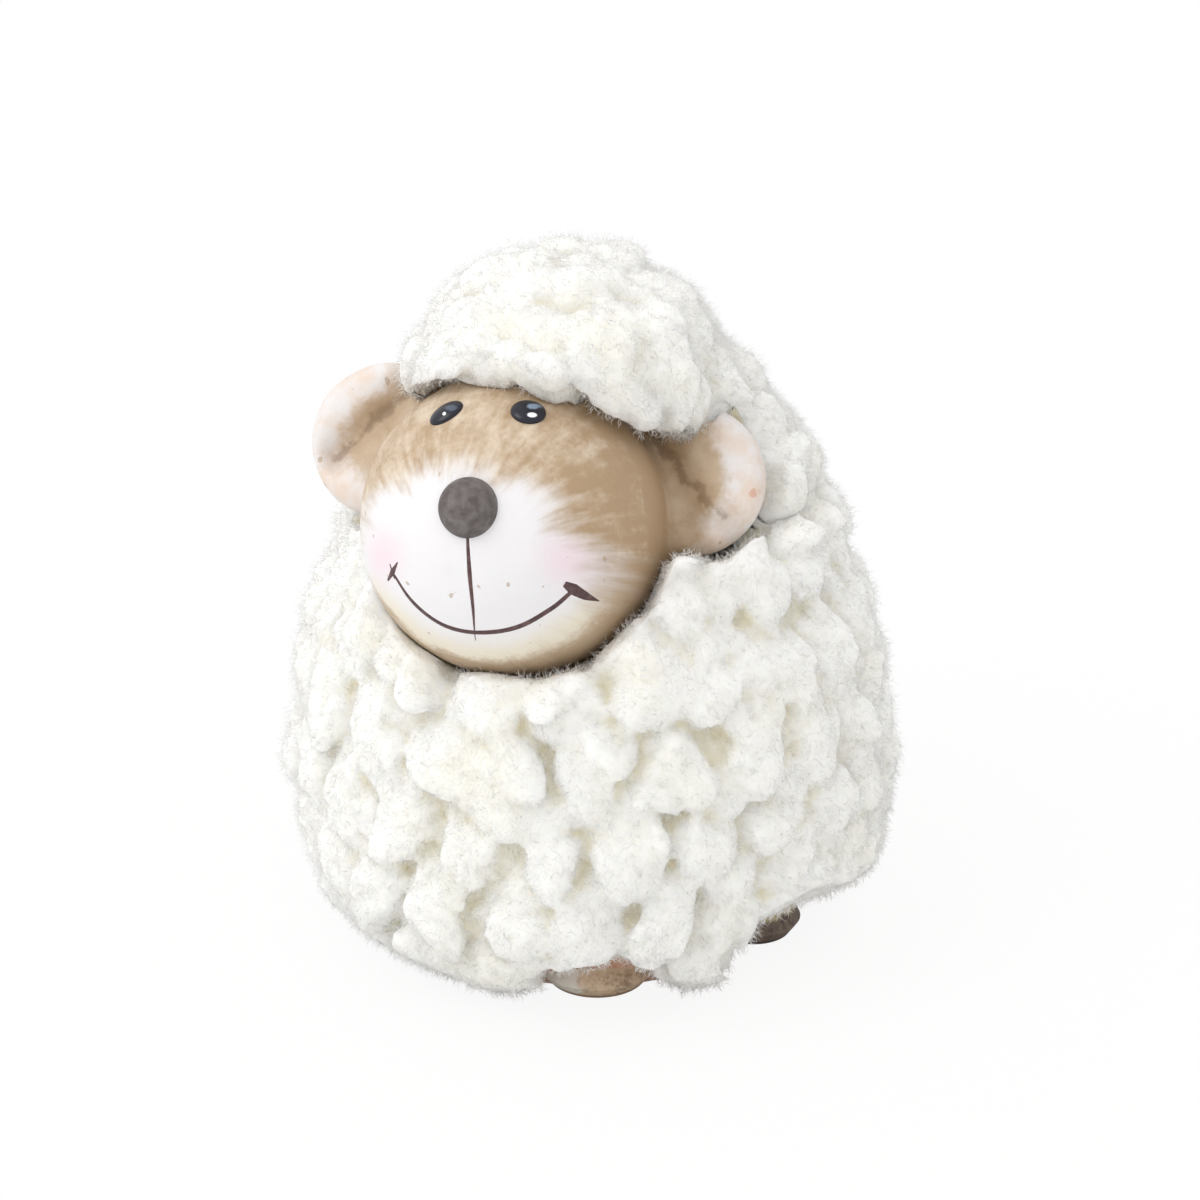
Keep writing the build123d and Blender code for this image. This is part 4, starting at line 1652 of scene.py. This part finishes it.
@dataclass
class CapFleece(Fleece):
    """The wool over the crown and the nape, with a soft fringe over the forehead.

    The fringe's own edge has teeth, and the hairline runs plainly behind it.
    """

    fringe: tuple = (
        (-26, 25), (-19.8, 23.2), (-14.1, 21.4), (-9, 20.2), (-3.4, 17.8), (0.2, 15.6), (2.4, 19),
        (7.3, 15.6), (10.5, 15.5), (11.4, 19.8), (14.6, 17), (18.8, 15.2), (25.5, 12.2), (31, 12.5),
    )
    hairline: tuple = ((-26, 25), (-14, 21.4), (0, 18), (14.6, 17), (31, 12.5))
    fringe_give: float = 0.12
    fringe_thickness: float = 2.6 * MM
    fringe_slope: float = 0.9
    front: float = -10 * MM
    front_end: float = -2 * MM
    overhang: float = 1.0 * MM
    spacing: float = 5.4 * MM
    height: float = -1.6 * MM
    backing_inset: float = 0.9 * MM
    most_triangles: int = 120000

    def line(self, sides: np.ndarray, knots: tuple) -> np.ndarray:
        """How high a line across the forehead is, at places to the side."""
        return np.interp(sides, *(np.array(knots).T * MM))

    def settle(self, places: np.ndarray) -> np.ndarray:
        """Moves the tufts of the fringe up, so that they end at its edge."""
        local = HEAD.inward(places)
        short = np.maximum(self.line(local[:, 0], self.hairline) + self.overhang - local[:, 1], 0)
        local[:, 1] += short * fade(local[:, 2], self.front, self.front_end)
        return HEAD.outward(local)

    def groom(self, places: np.ndarray) -> np.ndarray:
        """Lifts what hangs over the face to the line of the fringe, and thins it towards its edge."""
        local = HEAD.inward(places)
        below = np.minimum(local[:, 1] - self.line(local[:, 0], self.fringe), 0)
        front = fade(local[:, 2], self.front, self.front_end)
        local[:, 1] -= below * front * (1 - self.fringe_give)
        above = local[:, 1] - self.line(local[:, 0], self.hairline)
        places = HEAD.outward(local)
        distance, way = HEAD.clearance(places)
        most = self.fringe_thickness + np.maximum(above, 0) * self.fringe_slope
        places -= way * (np.maximum(distance - most, 0) * front)[:, None]
        return behind_ears(places)


@dataclass
class ClayFeetAndBody:
    """The feet and the clay body under the fleece."""

    def build(self) -> None:
        """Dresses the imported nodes."""
        brown = FootFinish(
            "front_foot_paint",
            brown=(0.68, 0.53, 0.38),
            dark=(0.33, 0.23, 0.15),
            top=(0.66, 0.53, 0.38),
            rubbed_to=-1.5 * MM,
        )
        dark = FootFinish(
            "rear_foot_paint",
            brown=(0.20, 0.15, 0.12),
            dark=(0.08, 0.06, 0.05),
            top=(0.52, 0.46, 0.26),
            rubbed_to=-40 * MM,
        )
        front, rear = brown.make(), dark.make()
        for side in ("left", "right"):
            dress_node(f"front_{side}_foot", front)
            dress_node(f"rear_{side}_foot", rear)
        dress_node("body_shell", BareClayFinish().make())


# Stage


@dataclass(frozen=True)
class Stage:
    """A pale floor, a white surround, a soft lamp and the camera."""

    floor_size: float = 3.0
    floor_tone: tuple = (0.84, 0.84, 0.83)
    floor_white_share: float = 0.9
    shadow_reach: tuple = (90 * MM, 260 * MM)
    surround_tone: tuple = (1.0, 0.995, 0.985)
    surround: float = 0.95
    surround_slant: float = 0.21
    bright_side: tuple = (-0.55, -0.45, 0.7)
    key_place: tuple = (-0.25, -0.55, 0.75)
    key_size: float = 0.5
    key_watts: float = 2.0
    lens: float = 85.0
    sensor: float = 36.0
    distance: float = 430 * MM
    nearest: float = 10 * MM
    azimuth: float = math.radians(31)
    elevation: float = math.radians(22)
    aim: tuple = (0, 0, 52 * MM)
    frame_width: int = 1200
    aim_left_of_centre: int = 8

    def build_floor(self) -> bpy.types.Object:
        """A floor that shows white but keeps the shadow."""
        bpy.ops.mesh.primitive_circle_add(vertices=64, radius=self.floor_size, fill_type="NGON")
        floor = bpy.context.object
        floor.name = "floor"
        recipe = Recipe("pale_floor")
        recipe.colour(self.floor_tone)
        recipe.feed({"Roughness": 0.9, "Specular IOR Level": 0.1})
        white = recipe.node("ShaderNodeEmission", None, {"Color": (1, 1, 1, 1), "Strength": 1.0})
        far = recipe.vector_sum("LENGTH", "Value", recipe.place).fades(*self.shadow_reach)
        share = far * (1 - self.floor_white_share) + self.floor_white_share
        output = recipe.tree.nodes["Material Output"]
        recipe.show(recipe.camera_ray() * share, (recipe.shader, white), output)
        dress(floor, recipe.material)
        return floor

    def build_surround(self) -> None:
        """A surround that lights the sheep softly, most from the upper left, and shows white."""
        world = bpy.data.worlds.new("surround")
        bpy.context.scene.world = world
        world.use_nodes = True
        graph = Graph(world.node_tree, "Generated")
        light, output = (graph.tree.nodes[name] for name in ("Background", "World Output"))
        strength = graph.measure(graph.place, self.bright_side) * self.surround_slant + self.surround
        graph.plug(light, {"Color": (*self.surround_tone, 1), "Strength": strength})
        white = graph.node("ShaderNodeBackground", None, {"Color": (1, 1, 1, 1), "Strength": 1.0})
        graph.show(graph.camera_ray(), (light, white), output)

    def build_lamp(self) -> None:
        """A square soft lamp that points at the sheep."""
        bpy.ops.object.light_add(type="AREA", location=self.key_place)
        lamp = bpy.context.object
        lamp.name = "key"
        lamp.data.size = self.key_size
        lamp.data.energy = self.key_watts
        way = Vector(self.aim) - Vector(self.key_place)
        lamp.rotation_euler = way.to_track_quat("-Z", "Y").to_euler()

    def build_camera(self) -> None:
        """The camera, where the photograph's was."""
        back = Vector((
            math.sin(self.azimuth) * math.cos(self.elevation),
            -math.cos(self.azimuth) * math.cos(self.elevation),
            math.sin(self.elevation),
        ))
        bpy.ops.object.camera_add(location=Vector(self.aim) + back * self.distance)
        camera = bpy.context.object
        camera.rotation_euler = (-back).to_track_quat("-Z", "Y").to_euler()
        camera.data.lens = self.lens
        camera.data.sensor_width = self.sensor
        camera.data.shift_x = self.aim_left_of_centre / self.frame_width
        camera.data.clip_start = self.nearest
        bpy.context.scene.camera = camera

    def build(self) -> None:
        """Builds the stage."""
        bpy.context.scene.view_settings.view_transform = "Standard"
        self.build_floor()
        self.build_surround()
        self.build_lamp()
        self.build_camera()


def main() -> None:
    """Builds the stage and the sheep, one sub-assembly after another."""
    logging.basicConfig(level=logging.INFO, format="%(name)s: %(message)s")
    bpy.ops.object.select_all(action="DESELECT")
    Stage().build()
    ClayFeetAndBody().build()
    pieces = ClayHead().build()
    finishes = {
        "wool": WoolFinish().make(),
        "fuzz": FibreFinish("white_fibre", (0.95, 0.945, 0.92)).make(),
        # The cream fibre is painted shade, for the fibres deep in the hollows
        "crevice_shade_fuzz": FibreFinish("crevice_shade_fibre", (0.87, 0.845, 0.76)).make(),
    }
    body = BodyFleece(node="body_fleece", name="body_wool", seed=11, fibre_count=200000)
    cap = CapFleece(node="head_fleece", name="cap_wool", seed=23, fibre_count=70000)
    pieces += body.build(finishes)
    pieces += cap.build(finishes)
    for piece in pieces:
        log.info("%s: %d triangles", piece.name, len(triangles_of(piece)))


if __name__ == "__main__":
    main()
